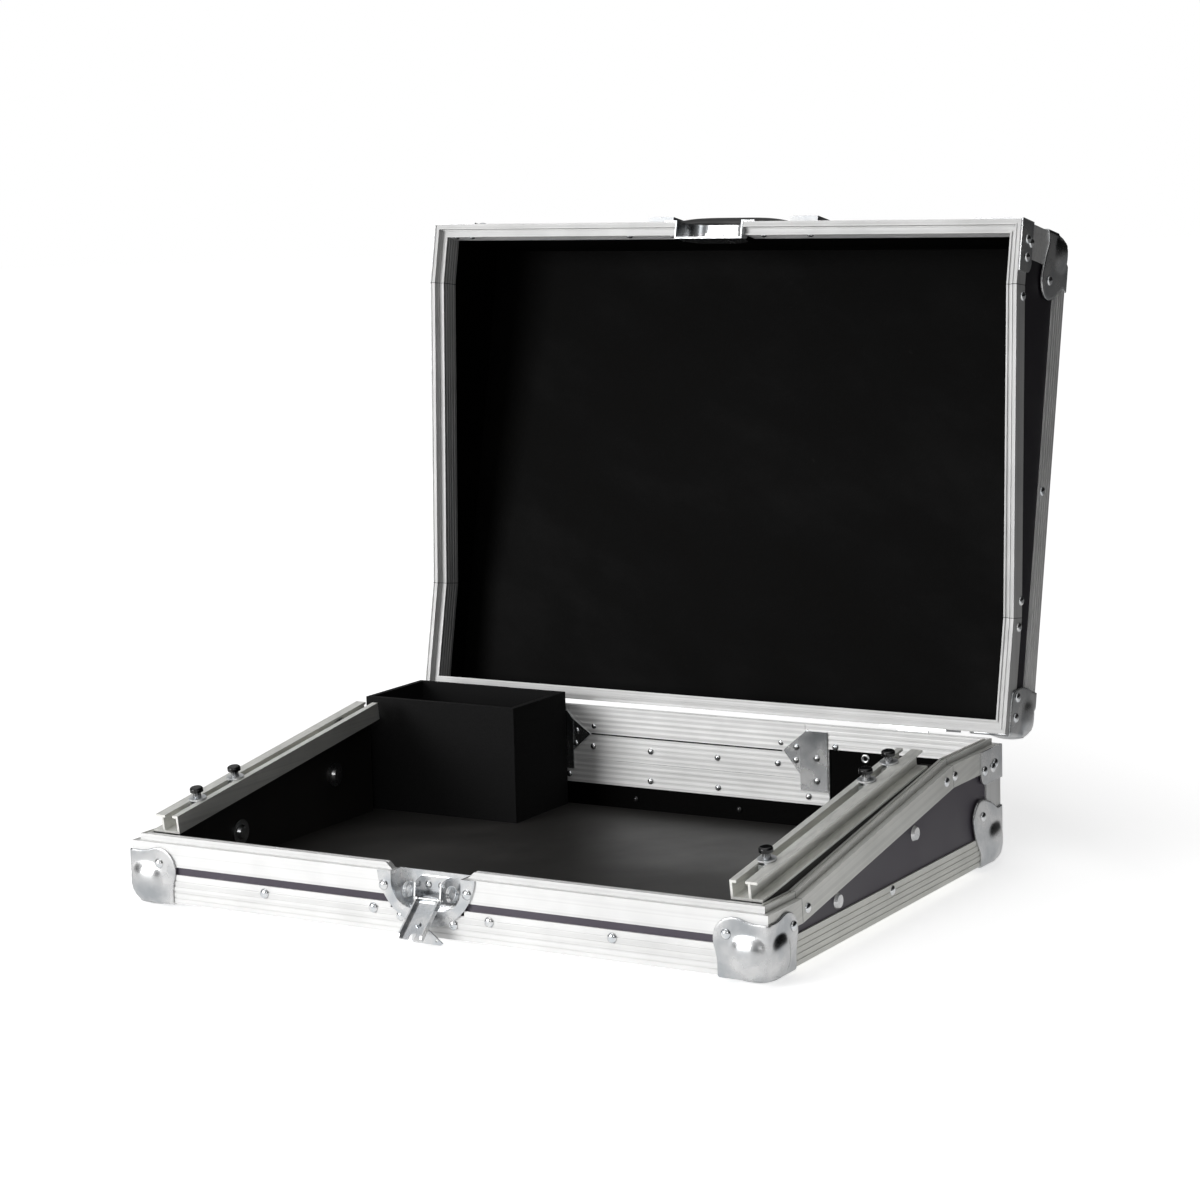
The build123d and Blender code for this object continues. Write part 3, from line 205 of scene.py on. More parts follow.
def steel(name, shade, low, high, grain, cloudy):
    """Plated pressed steel with a cloudy, faintly blue sheen. Its roughness goes from low to
    high, and its dark clouds are cloudy times its shade."""
    made, tree, shader = start(name, (shade, shade, shade), 1.0, low)
    clouds = spots(tree, grain, 5)
    dim = shade * cloudy
    tint = ramp(tree, clouds, (dim * 0.96, dim, dim * 1.04), (shade, shade, shade), (0.36, 0.62))
    finish(tree, shader, tint, ramp(tree, clouds, low, high), spots(tree, 900, 2), 0.08, 0.0002)
    return made


def laminate(name, depth, gloss):
    """Outer skin of the plywood: dark violet grey, faintly pebbled, dusty in places."""
    made, tree, shader = start(name, (0.05, 0.045, 0.06), 0.0, 0.45, Specular_IOR_Level=gloss)
    dust = spots(tree, 14, 6)
    low, high = [tuple(depth * value for value in colour)
                 for colour in ((0.052, 0.045, 0.060), (0.086, 0.076, 0.096))]
    finish(tree, shader, ramp(tree, dust, low, high), ramp(tree, dust, 0.34, 0.52),
           spots(tree, 1400, 3), 0.25)
    return made


def inside_skin(name, gloss, shade, smear_shade):
    """Inner skin of the panels: black, with wiped smudges and a few fine scratches."""
    made, tree, shader = start(name, (shade, shade, shade), 0.0, 0.55, Specular_IOR_Level=gloss)
    wiped = spots(tree, 5, 5, (1.0, 1.0, 2.2), (0.5, 0.2, 0.4), 0.6)
    fine = spots(tree, 60, 4, (1.0, 0.06, 1.0), (0.3, 0.1, 0.9), 0.7)
    smear = ramp(tree, wiped, (shade, shade * 0.94, shade * 0.86),
                 (smear_shade, smear_shade * 0.93, smear_shade * 0.84), (0.52, 0.78))
    marks = ramp(tree, fine, 0.0, 1.0, (0.72, 0.80))
    scratched = (smear_shade * 1.6, smear_shade * 1.5, smear_shade * 1.4)
    finish(tree, shader, blend_colour(tree, marks, smear, scratched),
           ramp(tree, wiped, 0.42, 0.62), spots(tree, 1100, 3), 0.3)
    return made


def plain(name, colour, metallic, roughness, grain, strength, **more):
    """Even finish with fine grain in tone and height."""
    made, tree, shader = start(name, colour, metallic, roughness, **more)
    fine = spots(tree, grain, 4)
    darker = tuple(value * 0.8 for value in colour)
    lighter = tuple(min(1.0, value * 1.35 + 0.003) for value in colour)
    finish(tree, shader, ramp(tree, fine, darker, lighter),
           ramp(tree, fine, roughness * 0.85, min(1.0, roughness * 1.15)), fine, strength)
    return made


# Materials. The side rims have a joint at each kink, in the plane that halves the bend.
bend = (0, math.cos(SLOPE / 2), math.sin(SLOPE / 2))
base_seams = [(bend, Vector(bend).dot(Vector((0, y, z))) * MM) for y, z in KINKS]
lid_seams = [(tuple(turned(bend)), turned(bend).dot(opened((0, y, z))) * MM) for y, z in KINKS]
alu_across = aluminium("aluminium_across", "x")
alu_depth = aluminium("aluminium_depth", "y", 0.80, warm=0.04)
# The rack rails take a lighter copy of the aluminium, shade 0.92: painted light on their sides,
# which mirror dark surroundings.
alu_rail_painted_light = aluminium("aluminium_rail_painted_light", "y", 0.92, warm=0.03)
alu_upright = aluminium("aluminium_upright", "z")
alu_base_rim = aluminium("aluminium_base_rim", "y", 0.80, base_seams, 0.03, SLOPE)
# The lid's side rims take a darker copy, shade 0.60: painted shade on the rims of the open lid.
alu_lid_rim_painted_shade = aluminium("aluminium_lid_rim_painted_shade", "y", 0.60, lid_seams, 0.0, SLOPE + OPEN_ANGLE)
# The inner rear wall, the cable flap and the rear rim take a lighter copy, shade 1.0: painted
# light.
alu_rear_painted_light = aluminium("aluminium_rear_painted_light", "x", 1.0, rib=0.0042)
# The lid's front and rear rims take a darker copy, shade 0.62: painted shade on the rims of the
# open lid.
alu_lid_across_painted_shade = aluminium("aluminium_lid_across_painted_shade", "x", 0.62)
zinc = steel("zinc_plate", 0.62, 0.20, 0.31, 42, 0.64)
dish_steel = steel("dish_plate", 0.66, 0.18, 0.30, 90, 0.8)
nickel = steel("nickel_rivet", 0.74, 0.16, 0.26, 200, 0.85)
cap_steel = steel("cap_steel", 0.45, 0.30, 0.42, 60, 0.7)
washer_steel = steel("washer_steel", 0.85, 0.42, 0.55, 200, 0.85)
black_steel = plain("black_screw", (0.004, 0.004, 0.0045), 0.0, 0.14, 800, 0.03)
# Both skins are one laminate, and depth scales its colour: the lid's darker copy, at 0.3, is
# painted shade on the lid's outer skin.
skin = laminate("laminate_outside", 1.15, 0.3)
lid_skin_painted_shade = laminate("laminate_lid_painted_shade", 0.3, 0.08)
inner = inside_skin("laminate_inside", 0.04, 0.0007, 0.0032)
inner_floor = inside_skin("laminate_floor", 0.5, 0.0150, 0.032)
# The rail boards take a lighter copy of the inside skin: painted light on their faces that turn
# away from the lamps.
board_skin_painted_light = inside_skin("laminate_board_painted_light", 0.4, 0.0120, 0.020)
felt = plain("compartment_black", (0.0032, 0.0032, 0.0034), 0.0, 0.85, 1500, 0.5,
             Specular_IOR_Level=0.25)
strap_black = plain("strap_rubber", (0.012, 0.012, 0.012), 0.0, 0.5, 700, 0.3)


# Materials of the CAD pieces.
def dress(name, *materials):
    """Gives a CAD piece its materials, the first one for all its faces."""
    mesh = nodes[name].data
    mesh.materials.clear()
    for made in materials:
        mesh.materials.append(made)
    for face in mesh.polygons:
        face.material_index = 0


def split_faces(name, test):
    """Faces that pass the test take the piece's second material."""
    for face in nodes[name].data.polygons:
        if test(face):
            face.material_index = 1


PANELS = {                                  # with the direction of the outer skin
    "base_floor": (0, 0, -1), "base_front_panel": (0, -1, 0), "base_rear_panel": (0, 1, 0),
    "base_left_panel": (-1, 0, 0), "base_right_panel": (1, 0, 0), "flap_panel": (0, 1, 0),
    "lid_left_panel": (-1, 0, 0), "lid_right_panel": (1, 0, 0),
    "lid_top_panel": turned((0, 0, 1)), "lid_front_panel": turned((0, -1, 0)),
    "lid_rear_panel": turned((0, 1, 0)),
}
FACES_OUT = 0.7                             # least part of a face's normal that way
for name, direction in PANELS.items():
    outward = Vector(direction)
    dress(name, inner_floor if name == "base_floor" else inner,
          lid_skin_painted_shade if name.startswith("lid") else skin)
    split_faces(name, lambda face: face.normal.dot(outward) > FACES_OUT)

FINISHES = (                                # every other piece is zinc
    (board_skin_painted_light, ("rail_board_left", "rail_board_right")),
    (felt, ("compartment",)),
    (cap_steel, ("handle_caps",)),
    (strap_black, ("handle_strap",)),
    (dish_steel, ("latch_dish", "lid_dish", "latch_bracket", "latch_link", "latch_wing",
                  "lid_keeper")),
    (alu_rail_painted_light, ("rack_rail_left", "rack_rail_right")),
    (alu_base_rim, ("base_rim_left", "base_rim_right")),
    (alu_lid_rim_painted_shade, ("lid_rim_left", "lid_rim_right")),
    (alu_depth, ("base_edge_sides",)),
    (alu_upright, ("lid_edge_sides", "base_corner_edges")),
    (alu_rear_painted_light, ("opening_frame", "flap_frame", "flap_rim", "base_rim_rear")),
    (alu_lid_across_painted_shade, ("lid_rim_front", "lid_rim_rear")),
    (alu_across, ("base_rim_front", "base_edge_front", "base_edge_rear", "lid_edge_front",
                  "lid_edge_rear", "lid_corner_edges")),
)
made_of = {name: made for made, names in FINISHES for name in names}
for name in nodes:
    if name not in PANELS:
        dress(name, made_of.get(name, zinc))

# The rack screws are black. The washers and nuts under their heads are bright.
rail_up = Vector((0, -math.sin(RAIL_SLOPE), math.cos(RAIL_SLOPE)))
for number in range(1, RACK_SCREWS + 1):
    name = f"rack_screw_{number}"
    dress(name, black_steel, washer_steel)
    highest = max(vertex.co.dot(rail_up) for vertex in nodes[name].data.vertices)
    split_faces(name, lambda face: face.center.dot(rail_up) < highest - HEAD_AND_NECK * MM)


# Making pieces.
trees = {}


def surface(body, point, out, reach=20.0):
    """Where a line that comes in against out first meets a body, mm, or else the point."""
    if body not in trees:
        corners, faces = [], []
        for name in bodies[body]:
            mesh = nodes[name].data
            first = len(corners)
            corners += [vertex.co.copy() for vertex in mesh.vertices]
            faces += [[first + index for index in face.vertices] for face in mesh.polygons]
        trees[body] = BVHTree.FromPolygons(corners, faces)
    begin = (Vector(point) + Vector(out) * reach) * MM
    hit = trees[body].ray_cast(begin, -Vector(out), 2 * reach * MM)[0]
    return Vector(point) if hit is None else hit / MM


def keep(name, mesh, made, body, sharp=None):
    """Puts a bmesh into the scene as a smooth piece of the object. Edges that bend by more than
    sharp degrees stay hard."""
    data = bpy.data.meshes.new(name)
    mesh.to_mesh(data)
    mesh.free()
    piece = bpy.data.objects.new(name, data)
    bpy.context.scene.collection.objects.link(piece)
    data.materials.append(made)
    for face in data.polygons:
        face.use_smooth = True
    if sharp is not None:
        data.set_sharp_from_angle(angle=math.radians(sharp))
    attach(piece, body)
    return piece


def frame_of(out):
    """Turn that takes +Z to a direction."""
    return Vector((0, 0, 1)).rotation_difference(Vector(out).normalized()).to_matrix()


def circle(radius, place, turn, height, sides):
    """Points of a circle round a turned axis, height above place, mm."""
    for step in range(sides):
        angle = 2 * math.pi * step / sides
        spot = Vector((radius * math.cos(angle), radius * math.sin(angle), height))
        yield Vector(place) + turn @ spot


def bridge(mesh, rings):
    """Joins each ring of vertices with the next. A ring of one vertex is a tip."""
    sides = max(len(ring) for ring in rings)
    for low, high in zip(rings, rings[1:]):
        for step in range(sides):
            after = (step + 1) % sides
            corners = (low[step % len(low)], low[after % len(low)],
                       high[after % len(high)], high[step % len(high)])
            unique = list(dict.fromkeys(corners))
            if len(unique) > 2:
                mesh.faces.new(unique)


def revolve(mesh, outline, place, out, sides=20):
    """Adds a solid of revolution: outline is (radius, height) from the axis at the foot to the
    axis at the top, or closed in itself."""
    turn = frame_of(out)
    rings = []
    for radius, height in outline:
        points = circle(radius, place, turn, height, sides if radius else 1)
        rings.append([mesh.verts.new(point * MM) for point in points])
    bridge(mesh, rings)


def tube(mesh, path, radius, sides=10):
    """Adds a closed round bar along a path, mm."""
    rings = []
    for index, point in enumerate(path):
        along = (path[min(index + 1, len(path) - 1)] - path[max(index - 1, 0)]).normalized()
        points = circle(radius, point, frame_of(along), 0, sides)
        rings.append([mesh.verts.new(spot * MM) for spot in points])
    bridge(mesh, rings)
    mesh.faces.new(list(reversed(rings[0])))
    mesh.faces.new(rings[-1])


# Outlines of dome rivets and of a hollow one: (radius, height), mm.
RIVET = [(0, -0.6), (3.7, -0.6), (3.7, 0.15), (3.35, 0.8), (2.7, 1.35), (1.7, 1.75), (0.7, 1.9),
         (0, 1.92)]
SMALL_RIVET = [(radius * 0.72, height * 0.8) for radius, height in RIVET]
HOLLOW_RIVET = [(1.5, -0.8), (1.5, 0.5), (2.0, 1.0), (2.9, 1.1), (3.7, 0.6), (3.9, -0.1),
                (3.9, -0.8), (1.5, -0.8)]


def rivets(name, body, places, outline=RIVET, made=nickel):
    """Rivets seated on a body: places is a list of (point, outward direction), mm."""
    mesh = bmesh.new()
    for point, out in places:
        revolve(mesh, outline, surface(body, point, out), out)
    keep(name, mesh, made, body)


# Pressed ball corners: one sheet bent over three faces of the case, swollen to a ball. Values in
# mm; inward coordinates run from the corner's three outer faces into the case.
SHEET = 1.5
SHEET_UNDER = 0.1                # how far the sheet reaches into what it lies on
FOLD = 1.8                       # radius of the bent edges
BALL_CENTRE = 14.0
BALL_RADIUS = {"base": 18.995, "lid": 17.7}
BALL_POWER = 2.6                 # 2 would be a sphere, more is squarer
BALL_FLAT = 3.0                  # beyond the centre, before the ball starts to run out
BALL_FADE = 4.5                  # length over which the ball runs out into the bent edges
BALL_SOFT = 1.8                  # width of the hollow round the ball
SOFT_FILL = 0.25                 # part of it by which that hollow is filled
ANGLES, RINGS = 40, 26
EDGE_ROUND = ((0.55, 0.0), (0.2, 0.12), (0.0, 0.5))     # (back from the outline, drop)
CORNER_SHARP = 50                # degrees
LOBE_FROM, LOBE_SWEEP, LOBE_STEPS = -32, 154, 24        # arc of a lobe, degrees
WAIST_AT, WAIST_GAP = 9.0, 4     # place of the waist along a leg, and its gap to the lobe
SMOOTHINGS = 2
TINY = 1e-6


def plate_reach(first, second, lobe, radius, waist):
    """Distances from the corner to a plate's outline, from its first leg round to its second."""
    cx, cy = lobe
    points = [(first, -SHEET), (first - waist, min(WAIST_AT, cy - WAIST_GAP))]
    for step in range(LOBE_STEPS + 1):
        angle = math.radians(LOBE_FROM + LOBE_SWEEP * step / LOBE_STEPS)
        points.append((cx + radius * math.cos(angle), cy + radius * math.sin(angle)))
    points += [(min(WAIST_AT, cx - WAIST_GAP), second - waist), (-SHEET, second)]
    polar = sorted((math.atan2(y + SHEET, x + SHEET), math.hypot(x + SHEET, y + SHEET))
                   for x, y in points)
    reach = []
    for step in range(ANGLES + 1):
        angle = math.pi / 2 * step / ANGLES
        below = max((item for item in polar if item[0] <= angle + TINY), key=lambda item: item[0])
        above = min((item for item in polar if item[0] >= angle - TINY), key=lambda item: item[0])
        gap = above[0] - below[0]
        part = (angle - below[0]) / gap if gap > TINY else 0.0
        reach.append(below[1] + (above[1] - below[1]) * part)
    for _ in range(SMOOTHINGS):
        between = [(a + 2 * b + c) / 4 for a, b, c in zip(reach, reach[1:], reach[2:])]
        reach = [reach[0], *between, reach[-1]]
    return reach


def swollen(point, ball):
    """Place on the bent sheet of a point on the sharp corner's outer faces, inward coordinates."""
    core = Vector([max(value, FOLD - SHEET) for value in point])
    point = core + (point - core).normalized() * FOLD
    centre = Vector((BALL_CENTRE,) * 3)
    arm = point - centre
    far = sum(abs(value) ** BALL_POWER for value in arm) ** (1 / BALL_POWER)
    if far > ball:
        run = min(1.0, max(0.0, (max(point) - BALL_CENTRE - BALL_FLAT) / BALL_FADE))
        run = run * run * (3 - 2 * run)
        new = ball + (far - ball) * run
    else:
        run, new = 1.0, ball
    near = max(0.0, BALL_SOFT - abs(far - ball)) / BALL_SOFT
    new += near * near * BALL_SOFT * SOFT_FILL * run
    return centre + arm * (new / far)


def ball_corner(mesh, place, sizes, ball):
    """Adds one corner. place takes inward coordinates (x, y, z) to the case; sizes gives the
    outlines on the X, Y and Z faces."""
    faces = []
    merged = {}

    def vertex(point):
        """The vertex at a point, one for all the plates that meet there."""
        key = tuple(round(value, 3) for value in point)
        if key not in merged:
            merged[key] = mesh.verts.new(place(point) * MM)
        return merged[key]

    drops = {}
    for axis, outline in enumerate(sizes):
        one, two = (axis + 1) % 3, (axis + 2) % 3
        columns = []
        for step, far in enumerate(plate_reach(*outline)):
            angle = math.pi / 2 * step / ANGLES
            radii = [(far - EDGE_ROUND[0][0]) * ring / RINGS for ring in range(RINGS + 1)]
            radii += [far - back_off for back_off, _ in EDGE_ROUND[1:]]
            column = []
            for radius in radii:
                point = Vector((-SHEET,) * 3)
                point[one] += radius * math.cos(angle)
                point[two] += radius * math.sin(angle)
                column.append(vertex(swollen(point, ball)))
            for ring, (_, drop) in enumerate(EDGE_ROUND[1:], RINGS + 1):
                drops[column[ring]] = drop
            columns.append(column)
        for left, right in zip(columns, columns[1:]):
            for a, b, c, d in zip(left, left[1:], right[1:], right):
                corners = list(dict.fromkeys((a, b, c, d)))
                if len(corners) > 2:
                    faces.append(mesh.faces.new(corners))

    # The normals point out, away from the ball's centre.
    bmesh.ops.recalc_face_normals(mesh, faces=faces)
    inside = place(Vector((BALL_CENTRE,) * 3)) * MM
    if sum((face.calc_center_median() - inside).dot(face.normal) for face in faces) < 0:
        bmesh.ops.reverse_faces(mesh, faces=faces)

    # The back of the sheet, the dropped edge and the band that closes it.
    outer = list(merged.values())
    for item in outer:
        item.normal_update()
    normals = {item: item.normal.copy() for item in outer}
    behind = {item: mesh.verts.new(item.co - normals[item] * (SHEET + SHEET_UNDER) * MM)
              for item in outer}
    for item, drop in drops.items():
        item.co -= normals[item] * drop * MM
    all_edges = dict.fromkeys(edge for face in faces for edge in face.edges)
    rim_edges = [edge for edge in all_edges if len(edge.link_faces) == 1]
    for face in faces:
        mesh.faces.new([behind[item] for item in reversed(face.verts)])
    for edge in rim_edges:
        a, b = edge.verts
        if edge.link_loops[0].vert == b:
            a, b = b, a
        mesh.faces.new((b, a, behind[a], behind[b]))


# Outlines on the X, Y and Z faces: leg, leg, middle and radius of the lobe, waist.
LOW_FRONT = [(36.5, 36.5, (24.5, 24.5), 15.5, 0.0)] * 3
HIGH_REAR = [(39.0, 38.5, (38.0, 35.5), 14.5, 0.8), (38.5, 39.0, (35.5, 38.0), 14.5, 0.8),
             (39.0, 39.0, (38.0, 38.0), 14.5, 0.8)]
LID_FRONT = [(41.0, 42.0, (37.0, 34.5), 15.0, 3.0), (42.0, 41.0, (34.5, 37.0), 15.0, 3.0),
             (41.0, 41.0, (37.0, 37.0), 15.0, 3.0)]
LID_REAR = [(33.0, 47.0, (30.0, 44.0), 3.0, 0.0), (47.0, 33.0, (44.0, 30.0), 3.0, 0.0),
            (33.0, 33.0, (30.0, 30.0), 3.0, 0.0)]


def corner_place(side, front, height, up, lid_body):
    """Function from inward coordinates at one corner of the case to its place, mm."""
    def place(point):
        """Place of a point in inward coordinates."""
        spot = (side * (X_OUT - point[0]), front * (Y_OUT - point[1]), height + up * point[2])
        return opened(spot) if lid_body else Vector(spot)
    return place


for body, height, up, kinds in (("base", BOTTOM_Z, 1, {-1: LOW_FRONT, 1: HIGH_REAR}),
                                ("lid", TOP_Z, -1, {-1: LID_FRONT, 1: LID_REAR})):
    name = f"{body}_corners"
    mesh = bmesh.new()
    for side in (-1, 1):
        for front in (-1, 1):
            ball_corner(mesh, corner_place(side, front, height, up, body == "lid"),
                        kinds[front], BALL_RADIUS[body])
    piece = keep(name + "_pressed", mesh, zinc, body, CORNER_SHARP)
    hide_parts(name)

# Strap of the handle, arched between its caps. Its section is (across, thickness), mm.
STRAP_SECTION = [(-11, 0.8), (-10.2, 0), (10.2, 0), (11, 0.8), (11, 2.1), (10.1, 2.8), (8, 3.0),
                 (3, 3.0), (-3, 3.0), (-8, 3.0), (-10.1, 2.8), (-11, 2.1)]
STRAP_THICK = 3.0
STRAP_Z, STRAP_FOOT = 98.0, -193.0          # its middle, and the y of its inner face
STRAP_END, STRAP_BEND = 72.0, 53.0          # half lengths of the strap and of its arch
STRAP_ARCH, ARCH_POWER = 4.3, 4
ARCH_HANG, ARCH_GROW = 0.2, 0.8             # parts of the rise that move and thicken the strap
STRAP_STEPS = 24                            # for each half
STRAP_SHARP = 50                            # degrees
mesh = bmesh.new()
rings = []
for step in range(2 * STRAP_STEPS + 1):
    x = STRAP_END * (step / STRAP_STEPS - 1)
    rise = STRAP_ARCH * max(0.0, 1 - abs(x / STRAP_BEND) ** ARCH_POWER)
    thicker = 1 + ARCH_GROW * rise / STRAP_THICK
    rings.append([mesh.verts.new(opened((MIDDLE + x,
                                         STRAP_FOOT - ARCH_HANG * rise - high * thicker,
                                         STRAP_Z + wide)) * MM)
                  for wide, high in STRAP_SECTION])
bridge(mesh, rings)
mesh.faces.new(rings[0])
mesh.faces.new(list(reversed(rings[-1])))
bmesh.ops.recalc_face_normals(mesh, faces=mesh.faces[:])
strap = keep("handle_strap_band", mesh, strap_black, "lid", STRAP_SHARP)
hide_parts("handle_strap")

# Springs beside the latch link, round its pivot, mm.
COIL_X, COIL_Y, COIL_Z = 16.2, -186.0, 35.2     # x from the middle
COIL_RADIUS, WIRE_RADIUS, COIL_PITCH = 5.2, 0.7, 1.6
COIL_STEPS, COIL_TURNS = 18, 2
COIL_TAIL = Vector((0, 0.2, -7.0))
mesh = bmesh.new()
for side in (-1, 1):
    path = []
    for step in range(COIL_STEPS * COIL_TURNS + 1):
        angle = 2 * math.pi * step / COIL_STEPS
        path.append(Vector((MIDDLE + side * COIL_X + side * COIL_PITCH * step / COIL_STEPS,
                            COIL_Y + COIL_RADIUS * math.cos(angle),
                            COIL_Z + COIL_RADIUS * math.sin(angle))))
    path.append(path[-1] + COIL_TAIL)
    tube(mesh, path, WIRE_RADIUS)
keep("latch_springs", mesh, washer_steel, "base")

# Rivets of the base: (y, z) on the sides, (x, z) on the front and the rear, mm.
side_outside = [(-132.9, 40.0), (92.2, 79.6), (106.7, 81.2), (-1.4, 21.7), (158.3, 74.9),
                (173.3, 74.7), (177.9, 77.1), (154.0, 41.4), (-156.7, 33.7)]
front_outside = [(-140.4, 20.6), (-47.5, 20.6), (46.7, 20.6), (142.4, 20.6),
                 (227.9, 33.3), (-232.7, 33.3),
                 (-37.6, 37.9), (30.2, 37.9), (-25.1, 17.1), (17.9, 15.4)]
rear_outside = [(-140.4, 20.6), (-47.5, 20.6), (46.7, 20.6), (142.4, 20.6), (227.9, 33.3),
                (-227.9, 33.3), (-200, 78.0), (-140, 78.0), (140, 78.0), (200, 78.0)]
base_places = [((side.x * X_OUT, y, z), side) for side in (LEFT, RIGHT) for y, z in side_outside]
base_places += [((x, -Y_OUT, z), FRONT) for x, z in front_outside]
base_places += [((x, Y_OUT, z), REAR) for x, z in rear_outside]
rivets("rivets_base_outside", "base", base_places)

RIM_INSIDE_Y, WALL_INSIDE_Y = 181.0, 181.5  # inner faces at the rear
rear_inside = [(-85.1, 78.0), (81.4, 78.0), (127.8, 78.0), (-108.4, 37.8), (-34.1, 37.8),
               (26.2, 37.8), (104.6, 37.8), (112.6, 68.3), (112.3, 50.6), (-112.6, 68.3),
               (-112.3, 50.6)]
flap_inside = [(-85.6, 61.7), (-33.4, 61.7), (26.2, 61.7), (78.6, 61.7), (94.8, 75.7),
               (94.3, 65.3), (-100.3, 73.3), (-101.6, 63.1)]
for name, body, places in (("rivets_rear_inside", "base", rear_inside),
                           ("rivets_flap_inside", "cable_flap", flap_inside)):
    rivets(name, body, [((x, RIM_INSIDE_Y, z), FRONT) for x, z in places], SMALL_RIVET)

# Rivets of the lid, given for the closed lid, mm: (y, z) on the sides.
LID_SIDE_INSIDE_X, LID_FRONT_INSIDE_Y = 248.5, -181.5
LID_FRONT_Z, LID_FRONT_INSIDE_Z = 62, 57.0
lid_side = [(-134.3, 61.8), (89.6, 101.9), (109.4, 101.2), (-176.9, 61.0), (-175.0, 67.9),
            (-163.5, 61.8), (-152.9, 108.0), (161.9, 105.8), (177.1, 105.0), (4.7, 127.6)]
lid_places = [(opened((side.x * X_OUT, y, z)), side) for side in (LEFT, RIGHT)
              for y, z in lid_side]
lid_front = (-220, -150, 150, 220)
lid_places += [(opened((x, -Y_OUT, LID_FRONT_Z)), turned(FRONT)) for x in lid_front]
rivets("rivets_lid_outside", "lid", lid_places)
lid_inside = [(95.7, 98.4), (110.7, 99.2), (155.7, 99.2), (168.3, 99.2)]
inner_places = [(opened((LID_SIDE_INSIDE_X, y, z)), LEFT) for y, z in lid_inside]
lid_front_inside = (-241.7, -226.7, -77.9, -39, 41.5, 81.9)
inner_places += [(opened((x, LID_FRONT_INSIDE_Y, LID_FRONT_INSIDE_Z)), turned(REAR))
                 for x in lid_front_inside]
rivets("rivets_lid_inside", "lid", inner_places, SMALL_RIVET)

# Small black screws low on the rear wall, a hollow rivet beside the guard plate, two rivets of
# the latch bracket.
low_screws = [(-48.5, 21.5), (43.7, 21.5)]
bracket_rivets = [(-5.3, 38.5), (5.3, 38.5)]
BRACKET_Y = -188.0
rivets("screws_rear_wall", "base", [((x, WALL_INSIDE_Y, z), FRONT) for x, z in low_screws],
       SMALL_RIVET, black_steel)
rivets("hollow_rivet", "base", [((152.2, WALL_INSIDE_Y, 70.8), FRONT)], HOLLOW_RIVET)
rivets("rivets_bracket", "base",
       [((MIDDLE + x, BRACKET_Y, z), FRONT) for x, z in bracket_rivets], SMALL_RIVET)

# Gussets at the ends of the slit in the cable flap: three corners (x, z) each, mm.
GUSSETS = [((83.5, 72.6), (104.8, 90.3), (98.2, 53.9)),
           ((-87.8, 71.7), (-108.7, 86.3), (-109.1, 52.5))]
GUSSET_THICK, GUSSET_UNDER = 0.6, 0.1       # over and into the flap
GUSSET_SEAT = 4                             # above its first corner, where its seat is found
GUSSET_SHARP = 40                           # degrees
mesh = bmesh.new()
for corners in GUSSETS:
    seat = (corners[0][0], WALL_INSIDE_Y, corners[0][1] + GUSSET_SEAT)
    flat = surface("cable_flap", seat, FRONT).y
    front = [mesh.verts.new(Vector((x, flat - GUSSET_THICK, z)) * MM) for x, z in corners]
    rear = [mesh.verts.new(Vector((x, flat + GUSSET_UNDER, z)) * MM) for x, z in corners]
    mesh.faces.new(front)
    mesh.faces.new(list(reversed(rear)))
    for a in range(3):
        b = (a + 1) % 3
        mesh.faces.new((front[a], rear[a], rear[b], front[b]))
bmesh.ops.recalc_face_normals(mesh, faces=mesh.faces[:])
keep("flap_gussets", mesh, dish_steel, "cable_flap", GUSSET_SHARP)

# Camera, fitted to the photograph.
AZIMUTH, ELEVATION, ROLL = (math.radians(angle) for angle in (31.2331, 7.6822, -1.5832))
DISTANCE = 2239.7 * MM
TARGET = Vector((-15.78, 2.47, 248.12)) * MM
SENSOR, FOCAL = 36.0, 92.247
SHIFT_X, SHIFT_Y = 0.04386, -0.04399
FAR_CLIP = 50.0
back = Vector((math.sin(AZIMUTH) * math.cos(ELEVATION), -math.cos(AZIMUTH) * math.cos(ELEVATION),
               math.sin(ELEVATION)))
level = (-back).cross(UP).normalized()
upright = level.cross(-back)
across = math.cos(ROLL) * level + math.sin(ROLL) * upright
above = math.cos(ROLL) * upright - math.sin(ROLL) * level
camera = bpy.data.objects.new("camera", bpy.data.cameras.new("camera"))
bpy.context.scene.collection.objects.link(camera)
turn = Matrix((across, above, back)).transposed().to_4x4()
camera.matrix_world = Matrix.Translation(TARGET + back * DISTANCE) @ turn
camera.data.sensor_width = SENSOR
camera.data.lens = FOCAL
camera.data.shift_x, camera.data.shift_y = SHIFT_X, SHIFT_Y
camera.data.clip_end = FAR_CLIP
bpy.context.scene.camera = camera


# Light.
def lamp(name, place, aim, size, power):
    """Soft square lamp."""
    data = bpy.data.lights.new(name, "AREA")
    data.shape, data.size, data.energy = "SQUARE", size, power
    made = bpy.data.objects.new(name, data)
    bpy.context.scene.collection.objects.link(made)
    made.location = Vector(place)
    made.rotation_mode = "QUATERNION"
    made.rotation_quaternion = (Vector(aim) - Vector(place)).to_track_quat("-Z", "Y")


lamp("key", (-1.6, -2.7, 0.85), (0, 0, 0.15), 1.3, 53)
lamp("fill", (1.3, -3.0, 1.2), (0, 0, 0.15), 1.0, 9)
lamp("top", (-0.4, -0.4, 2.8), (0, 0, 0), 2.0, 14)

